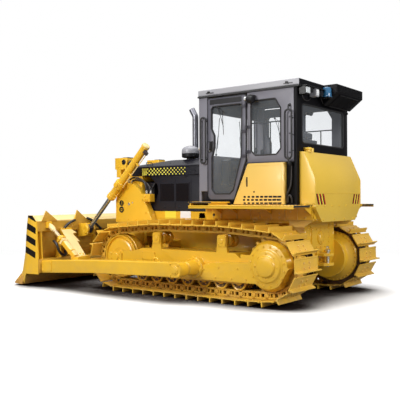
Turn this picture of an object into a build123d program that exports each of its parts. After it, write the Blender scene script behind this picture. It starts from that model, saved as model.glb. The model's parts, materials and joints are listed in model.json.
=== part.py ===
from build123d import *
import math
import os

# Crawler bulldozer with a straight blade, millimetres.
# Frame: +X forward, +Y to the driver's left, +Z up, ground at z = 0, origin under the middle of the whole machine.
# Most lengths along the machine are given as distances ahead of the sprocket axle, and the planes below add x_axle.

os.makedirs("parts", exist_ok=True)

# ---------------------------------------------------------------- driving dimensions
x_axle = -2022.5            # sprocket axle in the machine frame

# tracks
pitch = 203.0               # distance between two track pins
shoes = 39                  # shoes in one track
gauge = 1940.0              # between the centre lines of the two tracks
shoe_width = 600.0
plate_out = 62.0            # pin line to the outer face of a shoe plate
plate_thick = 14.0
grouser_high = 60.0
grouser_thick = 16.0
rail_out, rail_in = 48.0, -52.0     # the link rails, measured outward from the pin line
rail_near, rail_far = 58.0, 92.0    # the link rails, measured sideways from the track's centre line
z_ground_pin = plate_out + grouser_high

z_sprocket, r_sprocket_pin = 527.0, 392.2
x_idler, z_idler, r_idler_pin = 2735.0, 515.0, 393.0
carrier_x = (750.0, 1920.0)
z_carrier, r_carrier = 821.0, 101.0
roller_x = tuple(520.0 + 291.7 * i for i in range(7))
z_roller, r_roller = 277.0, 101.0

# blade and its push arms
blade_half = 1690.0
x_trunnion, z_trunnion = 1175.0, 445.0
arm_in, arm_out = 1440.0, 1620.0

# lift cylinders
y_lift = 720.0
x_pivot, z_pivot = 3090.0, 1630.0       # barrel trunnion
x_eye, z_eye = 3820.0, 885.0            # rod eye
r_barrel, r_bore, r_rod = 62.0, 46.0, 35.0

# cab
cab_half = 780.0
wall = 40.0
cab_front_x, cab_rear_x = 1410.0, -200.0
z_deck = 1310.0
z_wall_top = 2870.0


# ---------------------------------------------------------------- planes
def side(y):
    """Upright plane along the machine: local x forward from the axle, local y up, normal to the right."""
    return Plane(origin=(x_axle, y, 0), x_dir=(1, 0, 0), z_dir=(0, -1, 0))


def level(z):
    """Level plane: local x forward from the axle, local y to the left, normal up."""
    return Plane(origin=(x_axle, 0, z), x_dir=(1, 0, 0), z_dir=(0, 0, 1))


def station(x):
    """Upright plane across the machine: local x to the left, local y up, normal forward."""
    return Plane(origin=(x_axle + x, 0, 0), x_dir=(0, 1, 0), z_dir=(1, 0, 0))


def axle_plane(x, z):
    """Section through a wheel's axle: local x along the axle to the left, local y forward, centred on the axle."""
    return Plane(origin=(x_axle + x, 0, z), x_dir=(0, 1, 0), z_dir=(0, 0, -1))


def slab(points, y_a, y_b, mode=Mode.ADD):
    """Outline in the side view, given thickness from y_a to y_b, in the open part."""
    with BuildSketch(side(max(y_a, y_b))) as outline:
        with BuildLine():
            Polyline(*points, close=True)
        make_face()
    extrude(outline.sketch, amount=abs(y_b - y_a), mode=mode)


def block(x_a, x_b, y_a, y_b, z_a, z_b, mode=Mode.ADD):
    """Rectangular block between two corners, in the open part."""
    with BuildSketch(level(min(z_a, z_b))) as footprint:
        with Locations(((x_a + x_b) / 2, (y_a + y_b) / 2)):
            Rectangle(abs(x_b - x_a), abs(y_b - y_a))
    extrude(footprint.sketch, amount=abs(z_b - z_a), mode=mode)


def turned(x, z, profile, mode=Mode.ADD):
    """Revolved body about a level axle at x, z. profile: corners (y, radius)."""
    with BuildSketch(axle_plane(x, z)) as section:
        with BuildLine():
            Polyline(*profile, close=True)
        make_face()
    revolve(section.sketch, axis=Axis((x_axle + x, 0, z), (0, 1, 0)), mode=mode)


def save(piece, name):
    piece.part.label = name
    export_step(piece.part, f"parts/{name}.step")


# ---------------------------------------------------------------- track chain
def arc_points(cx, cz, r, a_from, a_to, step=2.0):
    count = max(2, int(abs(a_to - a_from) / step))
    return [(cx + r * math.cos(math.radians(a_from + (a_to - a_from) * i / count)),
             cz + r * math.sin(math.radians(a_from + (a_to - a_from) * i / count))) for i in range(count + 1)]


def pin_path(x_front):
    """The pin line, once round: ground run forward, idler, top run backward, sprocket."""
    top = z_carrier + r_carrier - rail_in
    path = [(roller_x[0] - 24, z_ground_pin)]
    path += arc_points(x_front, z_idler, r_idler_pin, -90, 89.5)
    path += [(x, top) for x in reversed(carrier_x)]
    path += arc_points(0, z_sprocket, r_sprocket_pin, 91, 272)
    return path


def chain_pins(x_front):
    """Pins one pitch apart along the path, and how much is left over at the end."""
    path = pin_path(x_front)
    path.append(path[0])
    pins, here, k = [path[0]], path[0], 0
    while k < len(path) - 1 and len(pins) < shoes:
        end = path[k + 1]
        if math.dist(here, end) < pitch:
            k += 1
            continue
        start = path[k] if math.dist(here, path[k]) < pitch else here
        low, high = 0.0, 1.0
        for _ in range(50):
            mid = (low + high) / 2
            trial = (start[0] + (end[0] - start[0]) * mid, start[1] + (end[1] - start[1]) * mid)
            if math.dist(here, trial) < pitch:
                low = mid
            else:
                high = mid
        here = trial
        pins.append(here)
    return pins, math.dist(here, pins[0]) - pitch


low, high = x_idler - 120, x_idler + 120
for _ in range(40):             # the track adjuster: the idler moves until the last shoe closes the loop
    mid = (low + high) / 2
    if chain_pins(mid)[1] < 0:
        low = mid
    else:
        high = mid
x_idler = (low + high) / 2
pins = chain_pins(x_idler)[0]
print("idler ahead of axle", round(x_idler, 1), "pins", len(pins), "closing error", round(chain_pins(x_idler)[1], 3))


def shifted(k, distance):
    """The corner of the loop at pin k, moved outward from the pin line."""
    a, b, c = pins[k - 1], pins[k], pins[(k + 1) % len(pins)]
    t1 = ((b[0] - a[0]) / math.dist(a, b), (b[1] - a[1]) / math.dist(a, b))
    t2 = ((c[0] - b[0]) / math.dist(b, c), (c[1] - b[1]) / math.dist(b, c))
    n = (t1[1] + t2[1], -t1[0] - t2[0])         # outward, because the pins run anticlockwise seen from the right
    size = math.hypot(*n)
    n = (n[0] / size, n[1] / size)
    reach = distance / (n[0] * t1[1] - n[1] * t1[0])
    return (b[0] + n[0] * reach, b[1] + n[1] * reach)


def loop_at(distance):
    return [shifted(k, distance) for k in range(len(pins))]


def shoe_outline():
    """The loop's outer edge: a plate over each link, with its one grouser near the leading pin."""
    outline = []
    for k in range(len(pins)):
        p, q = shifted(k, plate_out), shifted((k + 1) % len(pins), plate_out)
        span = math.dist(p, q)
        t = ((q[0] - p[0]) / span, (q[1] - p[1]) / span)
        n = (t[1], -t[0])
        start = span - 30.0 - grouser_thick
        outline.append(p)
        for along, out in ((start, 0), (start, grouser_high), (start + grouser_thick, grouser_high), (start + grouser_thick, 0)):
            outline.append((p[0] + t[0] * along + n[0] * out, p[1] + t[1] * along + n[1] * out))
    return outline


for name, s in (("left", 1), ("right", -1)):
    mid_y = s * gauge / 2
    with BuildPart() as track:
        with BuildSketch(side(mid_y + shoe_width / 2)):
            with BuildLine():
                Polyline(*shoe_outline(), close=True)
            make_face()
            with BuildLine():
                Polyline(*loop_at(plate_out - plate_thick), close=True)
            make_face(mode=Mode.SUBTRACT)
        extrude(amount=shoe_width)
        for near in (rail_near, -rail_far):
            with BuildSketch(side(mid_y + near + rail_far - rail_near)):
                with BuildLine():
                    Polyline(*loop_at(rail_out + 1.0), close=True)
                make_face()
                with BuildLine():
                    Polyline(*loop_at(rail_in), close=True)
                make_face(mode=Mode.SUBTRACT)
            extrude(amount=rail_far - rail_near)
    save(track, f"track_{name}")

# ---------------------------------------------------------------- undercarriage, one side at a time
# rollers: half length, flange radius; the rims run on the link rails, the middle stays clear of the pins
for name, s in (("left", 1), ("right", -1)):
    mid_y = s * gauge / 2

    with BuildPart() as rollers:
        for x in roller_x:
            turned(x, z_roller, [(mid_y - 136, 0), (mid_y - 136, 42), (mid_y - 118, 42), (mid_y - 118, 76), (mid_y - 108, 116),
                                 (mid_y - 96, 116), (mid_y - 96, r_roller), (mid_y - 50, r_roller), (mid_y - 44, 84),
                                 (mid_y + 44, 84), (mid_y + 50, r_roller), (mid_y + 96, r_roller), (mid_y + 96, 116),
                                 (mid_y + 108, 116), (mid_y + 118, 76), (mid_y + 118, 42), (mid_y + 136, 42), (mid_y + 136, 0)])
        for x in carrier_x:
            turned(x, z_carrier, [(mid_y - s * 110, 0), (mid_y - s * 110, 96), (mid_y - s * 50, 96), (mid_y - s * 50, 70), (mid_y + s * 50, 70),
                                  (mid_y + s * 50, 96), (mid_y + s * 110, 96), (mid_y + s * 110, 60), (mid_y + s * 130, 50), (mid_y + s * 130, 0)])
    save(rollers, f"rollers_{name}")

    with BuildPart() as idler:
        r_rim = math.sqrt(r_idler_pin ** 2 - (pitch / 2) ** 2) + rail_in - 1.0
        o = s                                    # outboard side of this wheel
        turned(x_idler, z_idler, [(mid_y - o * 112, 0), (mid_y - o * 112, 95), (mid_y - o * 60, 110), (mid_y - o * 60, 284),
                                  (mid_y - o * 95, 304), (mid_y - o * 95, r_rim), (mid_y - o * 50, r_rim), (mid_y - o * 44, r_rim + 14),
                                  (mid_y + o * 44, r_rim + 14), (mid_y + o * 50, r_rim), (mid_y + o * 95, r_rim), (mid_y + o * 95, 304),
                                  (mid_y + o * 72, 286), (mid_y + o * 92, 276), (mid_y + o * 108, 242), (mid_y + o * 112, 0)])
    save(idler, f"idler_{name}")

    with BuildPart() as sprocket:
        teeth = 24
        r_root, r_tip = 357.0, 412.0
        corners = []
        for k in range(teeth):
            base = 360.0 / teeth * k
            for turn, r in ((-4.7, r_root), (-1.9, r_tip), (1.9, r_tip), (4.7, r_root)):
                a = math.radians(base + turn)
                corners.append((r * math.cos(a), z_sprocket + r * math.sin(a)))
        slab(corners, mid_y - 26, mid_y + 26)
        turned(0, z_sprocket, [(mid_y - s * 40, 0), (mid_y - s * 40, 250), (mid_y - s * 26, 326), (mid_y - s * 20, 326), (mid_y - s * 20, 0)])
    save(sprocket, f"sprocket_{name}")

    with BuildPart() as drive_case:
        # flange on the steering housing, cone, and the bolted gear case beside the sprocket
        turned(0, z_sprocket, [(s * 450, 0), (s * 450, 300), (s * 500, 300), (s * 510, 235), (s * 640, 245), (s * 790, 345), (s * 828, 352),
                               (s * 828, 372), (s * 868, 372), (s * 868, 300), (mid_y - s * 40, 250), (mid_y - s * 40, 0)])
    save(drive_case, f"final_drive_{name}")

    with BuildPart() as frame:
        y_in, y_out = mid_y - s * 175, mid_y + s * 175
        # main beam over the track rollers, and the two cheeks that carry the idler
        slab([(440, 405), (2240, 405), (2240, 655), (2200, 668), (540, 668), (440, 600)], y_in, y_out)
        for a, b in ((y_out - s * 38, y_out), (y_in, y_in + s * 38)):
            slab([(2230, 405), (2760, 405), (2930, 470), (2930, 560), (2860, 590), (2420, 612), (2230, 655)], a, b)
            # roller guard cheek on each side of the track rollers
            slab([(400, 405), (400, 300), (440, 262), (2330, 262), (2400, 330), (2400, 405)], a, b)
        # carrier roller pedestals
        for x in carrier_x:
            slab([(x - 92, 660), (x - 75, 760), (x - 75, 885), (x - 60, 905), (x + 60, 905), (x + 75, 885), (x + 75, 760), (x + 92, 660)],
                 mid_y + s * 130, y_out)
        # cheek that joins the beam to the hub cover
        slab([(200, 405), (445, 405), (445, 655), (300, 655), (215, 575)], y_out - s * 38, y_out)
        # trunnion for the push arm
        turned(x_trunnion, z_trunnion, [(mid_y + s * 150, 0), (mid_y + s * 150, 150), (mid_y + s * 252, 150), (mid_y + s * 266, 140), (mid_y + s * 266, 112),
                                        (s * 1300, 98), (s * 1395, 90), (s * 1425, 60), (s * 1600, 60), (s * 1600, 0)])
        # outer cover over the sprocket hub, one piece with the guard, with its round bearing cap
        turned(0, z_sprocket, [(mid_y + s * 28, 0), (mid_y + s * 28, 295), (mid_y + s * 60, 308), (mid_y + s * 102, 308), (mid_y + s * 108, 324),
                               (mid_y + s * 165, 326), (mid_y + s * 232, 288), (mid_y + s * 240, 215), (mid_y + s * 262, 195), (mid_y + s * 266, 138), (mid_y + s * 300, 122), (mid_y + s * 306, 0)])
        # the cover is open behind, below the axle; the rock guard wraps under it
        slab([(-178, 302), (-302, 502), (-345, 524), (-420, 524), (-420, 150), (-205, 150)], mid_y + s * 20, mid_y + s * 240, mode=Mode.SUBTRACT)
        slab([(1160, 452), (1132, 290), (420, 290), (-165, 300), (-185, 312), (-300, 500), (-330, 520), (212, 560), (655, 550), (905, 520)],
             y_out, mid_y + s * 232)
    save(frame, f"track_frame_{name}")

# ---------------------------------------------------------------- main frame and rear housing
with BuildPart() as main_frame:
    for s in (1, -1):
        # side members, deeper beside the engine sump
        slab([(420, 560), (2100, 560), (2260, 780), (2700, 800), (2700, 1200), (1400, 1200), (1400, 1060), (420, 1060)], s * 400, s * 500)
    block(420, 2100, -400, 400, 560, 600)
    block(2580, 2700, -400, 400, 800, 1000)
    # equalizer bar that rests on both track frames
    slab([(2010, 600), (2170, 600), (2190, 690), (2190, 760), (1990, 760), (1990, 690)], -790, 790)
    # deck over the transmission, which carries the cab and the fenders
    slab([(-180, 1060), (-380, 1120), (-380, 1275), (1400, 1275), (1400, 1060)], -640, 640)
save(main_frame, "main_frame")

with BuildPart() as rear_housing:
    slab([(-130, 560), (-130, 1060), (420, 1060), (420, 430), (0, 400), (-70, 430)], -450, 450)
    # drawbar bracket: two plates with a pin hole between them
    for z_a, z_b in ((455, 495), (590, 630)):
        with BuildSketch(level(z_a)):
            with BuildLine():
                Polyline((-50, 120), (-250, 120), (-310, 70), (-310, -70), (-250, -120), (-50, -120), close=True)
            make_face()
            with Locations((-250, 0)):
                Circle(27, mode=Mode.SUBTRACT)
        extrude(amount=z_b - z_a)
    for y in (1, -1):
        block(-160, -60, y * 96, y * 120, 495, 590)
    # four tapped holes in the rear face, for a ripper or a winch
    for y in (-300, 300):
        for z in (640, 1000):
            with BuildSketch(station(-140)) as hole:
                with Locations((y, z)):
                    Circle(13.5)
            extrude(hole.sketch, amount=80, mode=Mode.SUBTRACT)
save(rear_housing, "rear_housing")

# ---------------------------------------------------------------- nose: radiator guard, grille, cylinder brackets
with BuildPart() as radiator_guard:
    block(2770, 3200, -520, 520, 640, 1760)
    block(2700, 2780, -500, 500, 660, 1200)
    block(2760, 3210, -430, 430, 720, 1680, mode=Mode.SUBTRACT)      # tunnel that the radiator stands in
    # heavy side brackets that carry the lift cylinders
    for s in (1, -1):
        slab([(3250, 1020), (3250, 1380), (3170, 1600), (3150, 1690), (3030, 1690), (2960, 1650), (2850, 1640), (2720, 1540), (2530, 1210), (2450, 1030)],
             s * 520, s * 640)
        block(2500, 2700, s * 530, s * 640, 1350, 1475)              # manifold that the lift lines start from
        turned(x_pivot, z_pivot, [(s * 560, 0), (s * 560, 32.3), (s * 660, 32.3), (s * 660, 0)], mode=Mode.SUBTRACT)
save(radiator_guard, "radiator_guard")

with BuildPart() as radiator:
    block(2800, 3100, -430, 430, 720, 1680)
    block(2600, 2800, -420, 420, 1205, 1660)                          # fan shroud
    for z in [745 + 66 * i for i in range(14)]:                       # grille bars
        block(3100, 3140, -430, 430, z, z + 30)
save(radiator, "radiator")

for name, s in (("left", 1), ("right", -1)):
    # lift cylinder: the barrel swings on its trunnion, the rod slides in it
    run = math.dist((x_pivot, z_pivot), (x_eye, z_eye))
    along = Vector(x_eye - x_pivot, 0, z_eye - z_pivot).normalized()
    at_pivot = Vector(x_axle + x_pivot, s * y_lift, z_pivot)
    axis_plane = Plane(origin=at_pivot, x_dir=(0, 1, 0), z_dir=along)
    with BuildPart() as barrel:
        with BuildSketch(axis_plane.offset(-852)):
            Circle(r_barrel)
        extrude(amount=1150)
        with BuildSketch(axis_plane.offset(238)):
            Circle(r_barrel + 8)
        extrude(amount=66)
        with BuildSketch(axis_plane.offset(-60)):
            RectangleRounded(2 * r_barrel, 2 * (r_barrel + 18), 20)      # trunnion collar
        extrude(amount=120)
        with BuildSketch(axis_plane.offset(-822)):
            Circle(r_bore)
        extrude(amount=1060, mode=Mode.SUBTRACT)
        with BuildSketch(axis_plane.offset(233)):
            Circle(r_rod + 0.3)
        extrude(amount=90, mode=Mode.SUBTRACT)
        turned(x_pivot, z_pivot, [(s * 565, 0), (s * 565, 32), (s * (y_lift - r_bore - 4), 32), (s * (y_lift - r_bore - 4), 0)])
    save(barrel, f"lift_barrel_{name}")

    with BuildPart() as rod:
        with BuildSketch(axis_plane.offset(-200)):
            Circle(r_rod)
        extrude(amount=run + 200 - 40)
        with BuildSketch(axis_plane.offset(-200)):
            Circle(r_bore - 0.3)
        extrude(amount=60)
        turned(x_eye, z_eye, [(s * (y_lift - 34), 0), (s * (y_lift - 34), 62), (s * (y_lift + 34), 62), (s * (y_lift + 34), 0)])
    save(rod, f"lift_rod_{name}")

# ---------------------------------------------------------------- engine and hood
with BuildPart() as engine:
    block(1480, 2560, -300, 300, 780, 1720)
save(engine, "engine_block")

with BuildPart() as hood:
    # outline across the hood, run forward, then the nose is cut to its slope
    with BuildSketch(station(1420)):
        with BuildLine():
            Polyline((505, 1762), (505, 1915), (340, 2012), (-340, 2012), (-505, 1915), (-505, 1762), close=True)
        make_face()
    extrude(amount=1600)
    slab([(2300, 2014), (3022, 1935), (3022, 2100), (2300, 2100)], 520, -520, mode=Mode.SUBTRACT)
save(hood, "hood")

with BuildPart() as side_panels:
    for s in (1, -1):
        slab([(1420, 1205), (2640, 1205), (2640, 1300), (2500, 1390), (2450, 1500), (2470, 1620), (2560, 1700), (2640, 1760), (1420, 1760)], s * 480, s * 494)
save(side_panels, "engine_side_panels")

with BuildPart() as exhaust:
    r_pipe = 48
    with BuildSketch(level(2016)):
        with Locations((2080, 0)):
            Circle(62)
    extrude(amount=120)
    with BuildSketch(level(2130)):
        with Locations((2080, 0)):
            Circle(r_pipe)
            Circle(r_pipe - 5, mode=Mode.SUBTRACT)
    extrude(amount=610)
    # outlet, leaning forward
    lean = Plane(origin=(x_axle + 2080, 0, 2725), x_dir=(0, 1, 0), z_dir=(0.5, 0, 0.866))
    with BuildSketch(lean):
        Circle(r_pipe)
    extrude(amount=150)
    with BuildSketch(lean.offset(10)):
        Circle(r_pipe - 5)
    extrude(amount=150, mode=Mode.SUBTRACT)
save(exhaust, "exhaust_stack")

with BuildPart() as precleaner:
    # neck, bowl and cap of the intake beside the exhaust: lowest height, radius, height, taper
    for z, r, high, slope in ((2016, 60, 30, 0), (2046, 140, 150, 0), (2196, 140, 45, 50)):
        with BuildSketch(level(z)):
            with Locations((2005, 225)):
                Circle(r)
        extrude(amount=high, taper=slope)
save(precleaner, "air_precleaner")

with BuildPart() as front_lamps:
    for s in (1, -1):
        with BuildSketch(side(s * 400 + 90)):
            with BuildLine():
                Polyline((3060, 1760), (3385, 1760), (3385, 1885), (3422, 1897), (3422, 2085), (3150, 2085), (3140, 2040), (3172, 1897), (3290, 1885), (3290, 1805),
                         (3060, 1805), close=True)
            make_face()
        extrude(amount=180)
save(front_lamps, "front_lamps")

# ---------------------------------------------------------------- fenders
for name, s in (("left", 1), ("right", -1)):
    with BuildPart() as fender:
        block(-410, 1240, s * 785, s * 1250, 1280, 1305)
        block(-410, 1240, s * 1238, s * 1250, 1262, 1305)
        block(-380, 1400, s * 641, s * 800, 1262, 1274)
        block(-380, 1240, s * 690, s * 700, 1112, 1270)      # skirt beside the deck
        for x in (-365, 227, 791, 1064):          # gussets under the plate
            with BuildSketch(station(x)):
                with BuildLine():
                    Polyline((s * 641, 1275), (s * 880, 1275), (s * 880, 1262), (s * 641, 1150), close=True)
                make_face()
            extrude(amount=14)
        block(-380, 1240, s * 785, s * 800, 1262, 1290)
        # front step
        block(850, 1240, s * 800, s * 1250, 1335, 1352)
        for x in (880, 1200):
            block(x, x + 20, s * 810, s * 1240, 1305, 1335)
    save(fender, f"fender_{name}")

# ---------------------------------------------------------------- cab
with BuildPart() as cab_floor:
    block(cab_rear_x, cab_front_x, -cab_half, cab_half, 1276, z_deck)
save(cab_floor, "cab_floor")

with BuildPart() as cab_front:
    block(cab_front_x - wall, cab_front_x, -cab_half, cab_half, z_deck, z_wall_top)
    for s in (1, -1):
        block(1250, cab_front_x - wall + 1, s * (cab_half - wall), s * cab_half, 1500, z_wall_top)
    block(cab_front_x - 60, cab_front_x + 10, -700, 700, 2030, 2790, mode=Mode.SUBTRACT)
    for s in (1, -1):
        block(cab_front_x - 60, cab_front_x + 10, s * 540, s * 700, 1600, 1970, mode=Mode.SUBTRACT)
save(cab_front, "cab_front")

with BuildPart() as cab_rear:
    block(cab_rear_x, cab_rear_x + wall, -cab_half, cab_half, z_deck, z_wall_top)
    block(cab_rear_x - 10, cab_rear_x + 60, -630, 630, 2130, 2650, mode=Mode.SUBTRACT)
    for s in (1, -1):
        block(cab_rear_x + wall - 1, -25, s * 700, s * 740, z_deck, 1885)
save(cab_rear, "cab_rear")

# quarter panels behind the doors, with a side window each
quarter_window = [(40, 2060), (110, 1985), (440, 1985), (510, 2050), (510, 2690), (460, 2735), (120, 2735), (40, 2600)]
# door outline and its glass
door_outline = [(592, 2830), (592, 1945), (790, 1400), (808, 1385), (1200, 1385), (1240, 1430), (1240, 2830)]
door_glass = [(652, 2715), (668, 1985), (800, 1520), (860, 1465), (1120, 1465), (1175, 1530), (1175, 1990), (1130, 2130), (1130, 2300), (1180, 2400), (1180, 2680), (1150, 2715)]
for name, s in (("left", 1), ("right", -1)):
    with BuildPart() as quarter:
        slab([(cab_rear_x + wall, 1885), (570, 1885), (570, z_wall_top), (cab_rear_x + wall, z_wall_top)], s * (cab_half - wall), s * cab_half)
        slab(quarter_window, s * (cab_half - wall - 5), s * (cab_half + 5), mode=Mode.SUBTRACT)
    save(quarter, f"cab_quarter_{name}")

    with BuildPart() as quarter_glass:
        slab(quarter_window, s * (cab_half - 24), s * (cab_half - 16))
    save(quarter_glass, f"quarter_window_{name}")

    with BuildPart() as door:
        slab(door_outline, s * (cab_half - 40), s * (cab_half + 5))
        slab(door_glass, s * (cab_half - 60), s * (cab_half + 20), mode=Mode.SUBTRACT)
        # lever
        block(1195, 1215, s * (cab_half + 5), s * (cab_half + 45), 2180, 2200)
        block(1195, 1215, s * (cab_half + 30), s * (cab_half + 45), 2080, 2200)
    save(door, f"cab_door_{name}")

    with BuildPart() as door_pane:
        slab(door_glass, s * (cab_half - 22), s * (cab_half - 14))
    save(door_pane, f"door_glass_{name}")

with BuildPart() as front_windows:
    block(cab_front_x - 24, cab_front_x - 16, -700, 700, 2030, 2790)
    for s in (1, -1):
        block(cab_front_x - 24, cab_front_x - 16, s * 540, s * 700, 1600, 1970)
save(front_windows, "front_windows")

with BuildPart() as rear_window:
    block(cab_rear_x + 12, cab_rear_x + 20, -630, 630, 2130, 2650)
save(rear_window, "rear_window")

with BuildPart() as roof:
    block(-246, 1391 + 20, -796, 796, z_wall_top, 2964)
    block(-150, 1330, -700, 700, z_wall_top - 10, 2940, mode=Mode.SUBTRACT)
save(roof, "cab_roof")

# seat and consoles
with BuildPart() as station_base:
    block(120, 560, -220, 220, z_deck, 1640)
    for s in (1, -1):
        block(60, 760, s * 330, s * 560, z_deck, 1860)
save(station_base, "operator_consoles")
with BuildPart() as seat:
    block(100, 600, -250, 250, 1641, 1760)
    slab([(90, 1770), (200, 1770), (120, 2330), (30, 2330)], -240, 240)
save(seat, "operator_seat")

# side boxes under the quarter windows: on the left a sheet steel battery box with a full-size door, on the right the hydraulic oil tank
box_outline = [(-20, 1310), (812, 1310), (560, 1880), (-20, 1880)]
with BuildPart() as battery_box:
    slab(box_outline, 600, 780)
    slab([(-4, 1326), (784, 1326), (549, 1864), (-4, 1864)], 612, 790, mode=Mode.SUBTRACT)
save(battery_box, "battery_box")
with BuildPart() as battery_door:
    slab([(-14, 1317), (798, 1317), (556, 1873), (-14, 1873)], 781, 796)
save(battery_door, "battery_box_door")
with BuildPart() as oil_tank:
    slab(box_outline, -600, -796)
save(oil_tank, "hydraulic_tank")

# ---------------------------------------------------------------- rear: tank, roof unit, lamps
with BuildPart() as tank:
    slab([(-205, 1311), (-430, 1311), (-430, 1660), (-270, 2010), (-205, 2010)], -715, 715)
    # carrier under the tank
    with BuildSketch(station(-430)):
        with BuildLine():
            Polyline((-715, 1300), (715, 1300), (715, 1285), (520, 1080), (-520, 1080), (-715, 1285), close=True)
        make_face()
    extrude(amount=48)
    block(-430, -382, -700, 700, 1298, 1312)
    with BuildSketch(level(2005)):
        with Locations((-240, 450)):
            Circle(34)
    extrude(amount=60)
save(tank, "fuel_tank")

with BuildPart() as condenser:
    slab([(-247, 2960), (-450, 2960), (-450, 2840), (-247, 2680)], -760, 100)
save(condenser, "condenser_box")

# ---------------------------------------------------------------- blade and push arms
edge_outline = [(4333, 172), (4375, 195), (4548, 42), (4523, 20), (4350, 20), (4302, 150)]
with BuildPart() as blade:
    # moldboard: a rolled plate
    with BuildSketch(side(blade_half - 20)):
        with BuildLine():
            l1 = ThreePointArc((4190, 1130), (4120, 640), (4330, 170))
            l2 = Line((4330, 170), (4300, 150))
            l3 = ThreePointArc((4300, 150), (4092, 640), (4160, 1130))
            l4 = Line((4160, 1130), (4190, 1130))
        make_face()
    extrude(amount=2 * (blade_half - 20))
    # box beams behind the top and the bottom edge
    slab([(4155, 1130), (4095, 1138), (3990, 1046), (3990, 885), (4110, 855), (4130, 1000)], blade_half - 20, 20 - blade_half)
    slab([(4190, 300), (4110, 440), (3960, 440), (3940, 400), (3940, 230), (4270, 215)], blade_half - 20, 20 - blade_half)
    # end plates and upright ribs
    for s in (1, -1):
        slab([(4070, 1140), (4190, 1140), (4215, 1000), (4240, 800), (4262, 530), (4330, 250), (4370, 180), (4300, 45), (4250, 200), (3940, 205), (3940, 450), (3988, 1050)],
             s * (blade_half - 20), s * blade_half)
        for y in (1600, 1200, 430, 12):
            slab([(3990, 1000), (4128, 1000), (4112, 820), (4104, 640), (4116, 500), (4140, 400), (3960, 400), (3990, 855)], s * y, s * (y - 24))
        # lift ears: two cheeks with the rod eye between them
        for a, b in ((y_lift - 78, y_lift - 50), (y_lift + 50, y_lift + 78)):
            slab([(4010, 990), (4010, 760), (3830, 780), (3765, 815), (3742, 890), (3768, 955), (3822, 990)], s * a, s * b)
        # three-cornered gussets on the back of the top beam, which stand above it
        for outer, apex, inner, low_outer, low_inner in ((1594, 1500, 1267, 1045, 1050), (941, 840, 529, 940, 985)):
            with BuildSketch(station(3974)):
                with BuildLine():
                    Polyline((s * outer, low_outer), (s * apex, 1216), (s * inner, low_inner), close=True)
                make_face()
            extrude(amount=20)
    slab(edge_outline, blade_half + 10, -blade_half - 10, mode=Mode.SUBTRACT)
save(blade, "blade")

with BuildPart() as edge:
    slab(edge_outline, blade_half, -blade_half)
save(edge, "cutting_edge")

for name, s in (("left", 1), ("right", -1)):
    with BuildPart() as arm:
        slab([(1175, 350), (1290, 345), (2750, 300), (3938, 226), (3938, 425), (2750, 490), (1290, 540), (1175, 540)], s * arm_in, s * arm_out)
        turned(x_trunnion, z_trunnion, [(s * arm_in, 0), (s * arm_in, 98), (s * arm_out, 98), (s * arm_out, 0)])
        turned(x_trunnion, z_trunnion, [(s * (arm_in - 10), 0), (s * (arm_in - 10), 60.3), (s * (arm_out - 15), 60.3), (s * (arm_out - 15), 0)], mode=Mode.SUBTRACT)
    save(arm, f"push_arm_{name}")

    with BuildPart() as brace:
        # screw brace from the shelf on the push arm up to the top beam of the blade
        foot, head = Vector(x_axle + 3385, s * 1402, 497), Vector(x_axle + 3957, s * 1458, 1000)
        lean = Plane(origin=foot, x_dir=(0, 1, 0), z_dir=(head - foot).normalized())
        with BuildSketch(lean):
            RectangleRounded(84, 84, 18)
        extrude(amount=430)
        with BuildSketch(lean.offset(430)):
            Circle(30)
        extrude(amount=(head - foot).length - 430)
        block(3925, 3990, s * 1420, s * 1500, 935, 1040)
        # flat brace beside it: one wide plate whose inner edge steps out twice
        foot, head = Vector(x_axle + 3380, s * 1300, 480), Vector(x_axle + 3955, s * 1130, 890)
        along = (head - foot).normalized()
        run = (head - foot).length
        flat = Plane(origin=foot, x_dir=along, z_dir=along.cross(Vector(0, 1, 0)))
        inward = -s if flat.y_dir.Y > 0 else s
        # rows: distance up the brace, distance inward of its centre line
        edge_rows = ((0, -95), (0, 95), (0.56 * run, 95), (0.56 * run, 145), (0.78 * run, 100), (0.86 * run, 105), (0.90 * run, 185), (run, 120), (run, -95))
        with BuildSketch(flat):
            with BuildLine():
                Polyline(*[(up, inward * w) for up, w in edge_rows], close=True)
            make_face()
        extrude(amount=24, both=True)
        block(3925, 3990, s * 1010, s * 1225, 862, 925)
        # shelf that carries both feet
        block(3290, 3450, s * 1180, s * arm_in, 400, 500)
    save(brace, f"tilt_brace_{name}")

# ---------------------------------------------------------------- formed lines from the hood side to the lift cylinder trunnions
# each row: offset from the centre plane, then the corners of the route (ahead of the axle, height)
line_routes = [(606, [(2995, 1670), (2957, 1736.5), (2800, 1745), (2600, 1655), (2600, 1475)]),
               (562, [(2972, 1656.857), (2942, 1709.357), (2790, 1700), (2550, 1615), (2550, 1475)])]
r_line = 15.0
with BuildPart() as lift_lines:
    for s in (1, -1):
        for y, corners in line_routes:
            with BuildLine() as route:
                FilletPolyline(*[(x_axle + x, s * y, z) for x, z in corners], radius=(55, 140, 120))
            with BuildSketch(Plane(origin=route.line @ 0, z_dir=route.line % 0)) as section:
                Circle(r_line)
            sweep(section.sketch, path=route.line)
save(lift_lines, "lift_lines")
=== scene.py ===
# Crawler bulldozer: finishes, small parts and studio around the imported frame. Metres; the tables are millimetres ahead of the sprocket axle.
import bpy
import bmesh
import json
import math
from mathutils import Matrix, Vector

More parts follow.
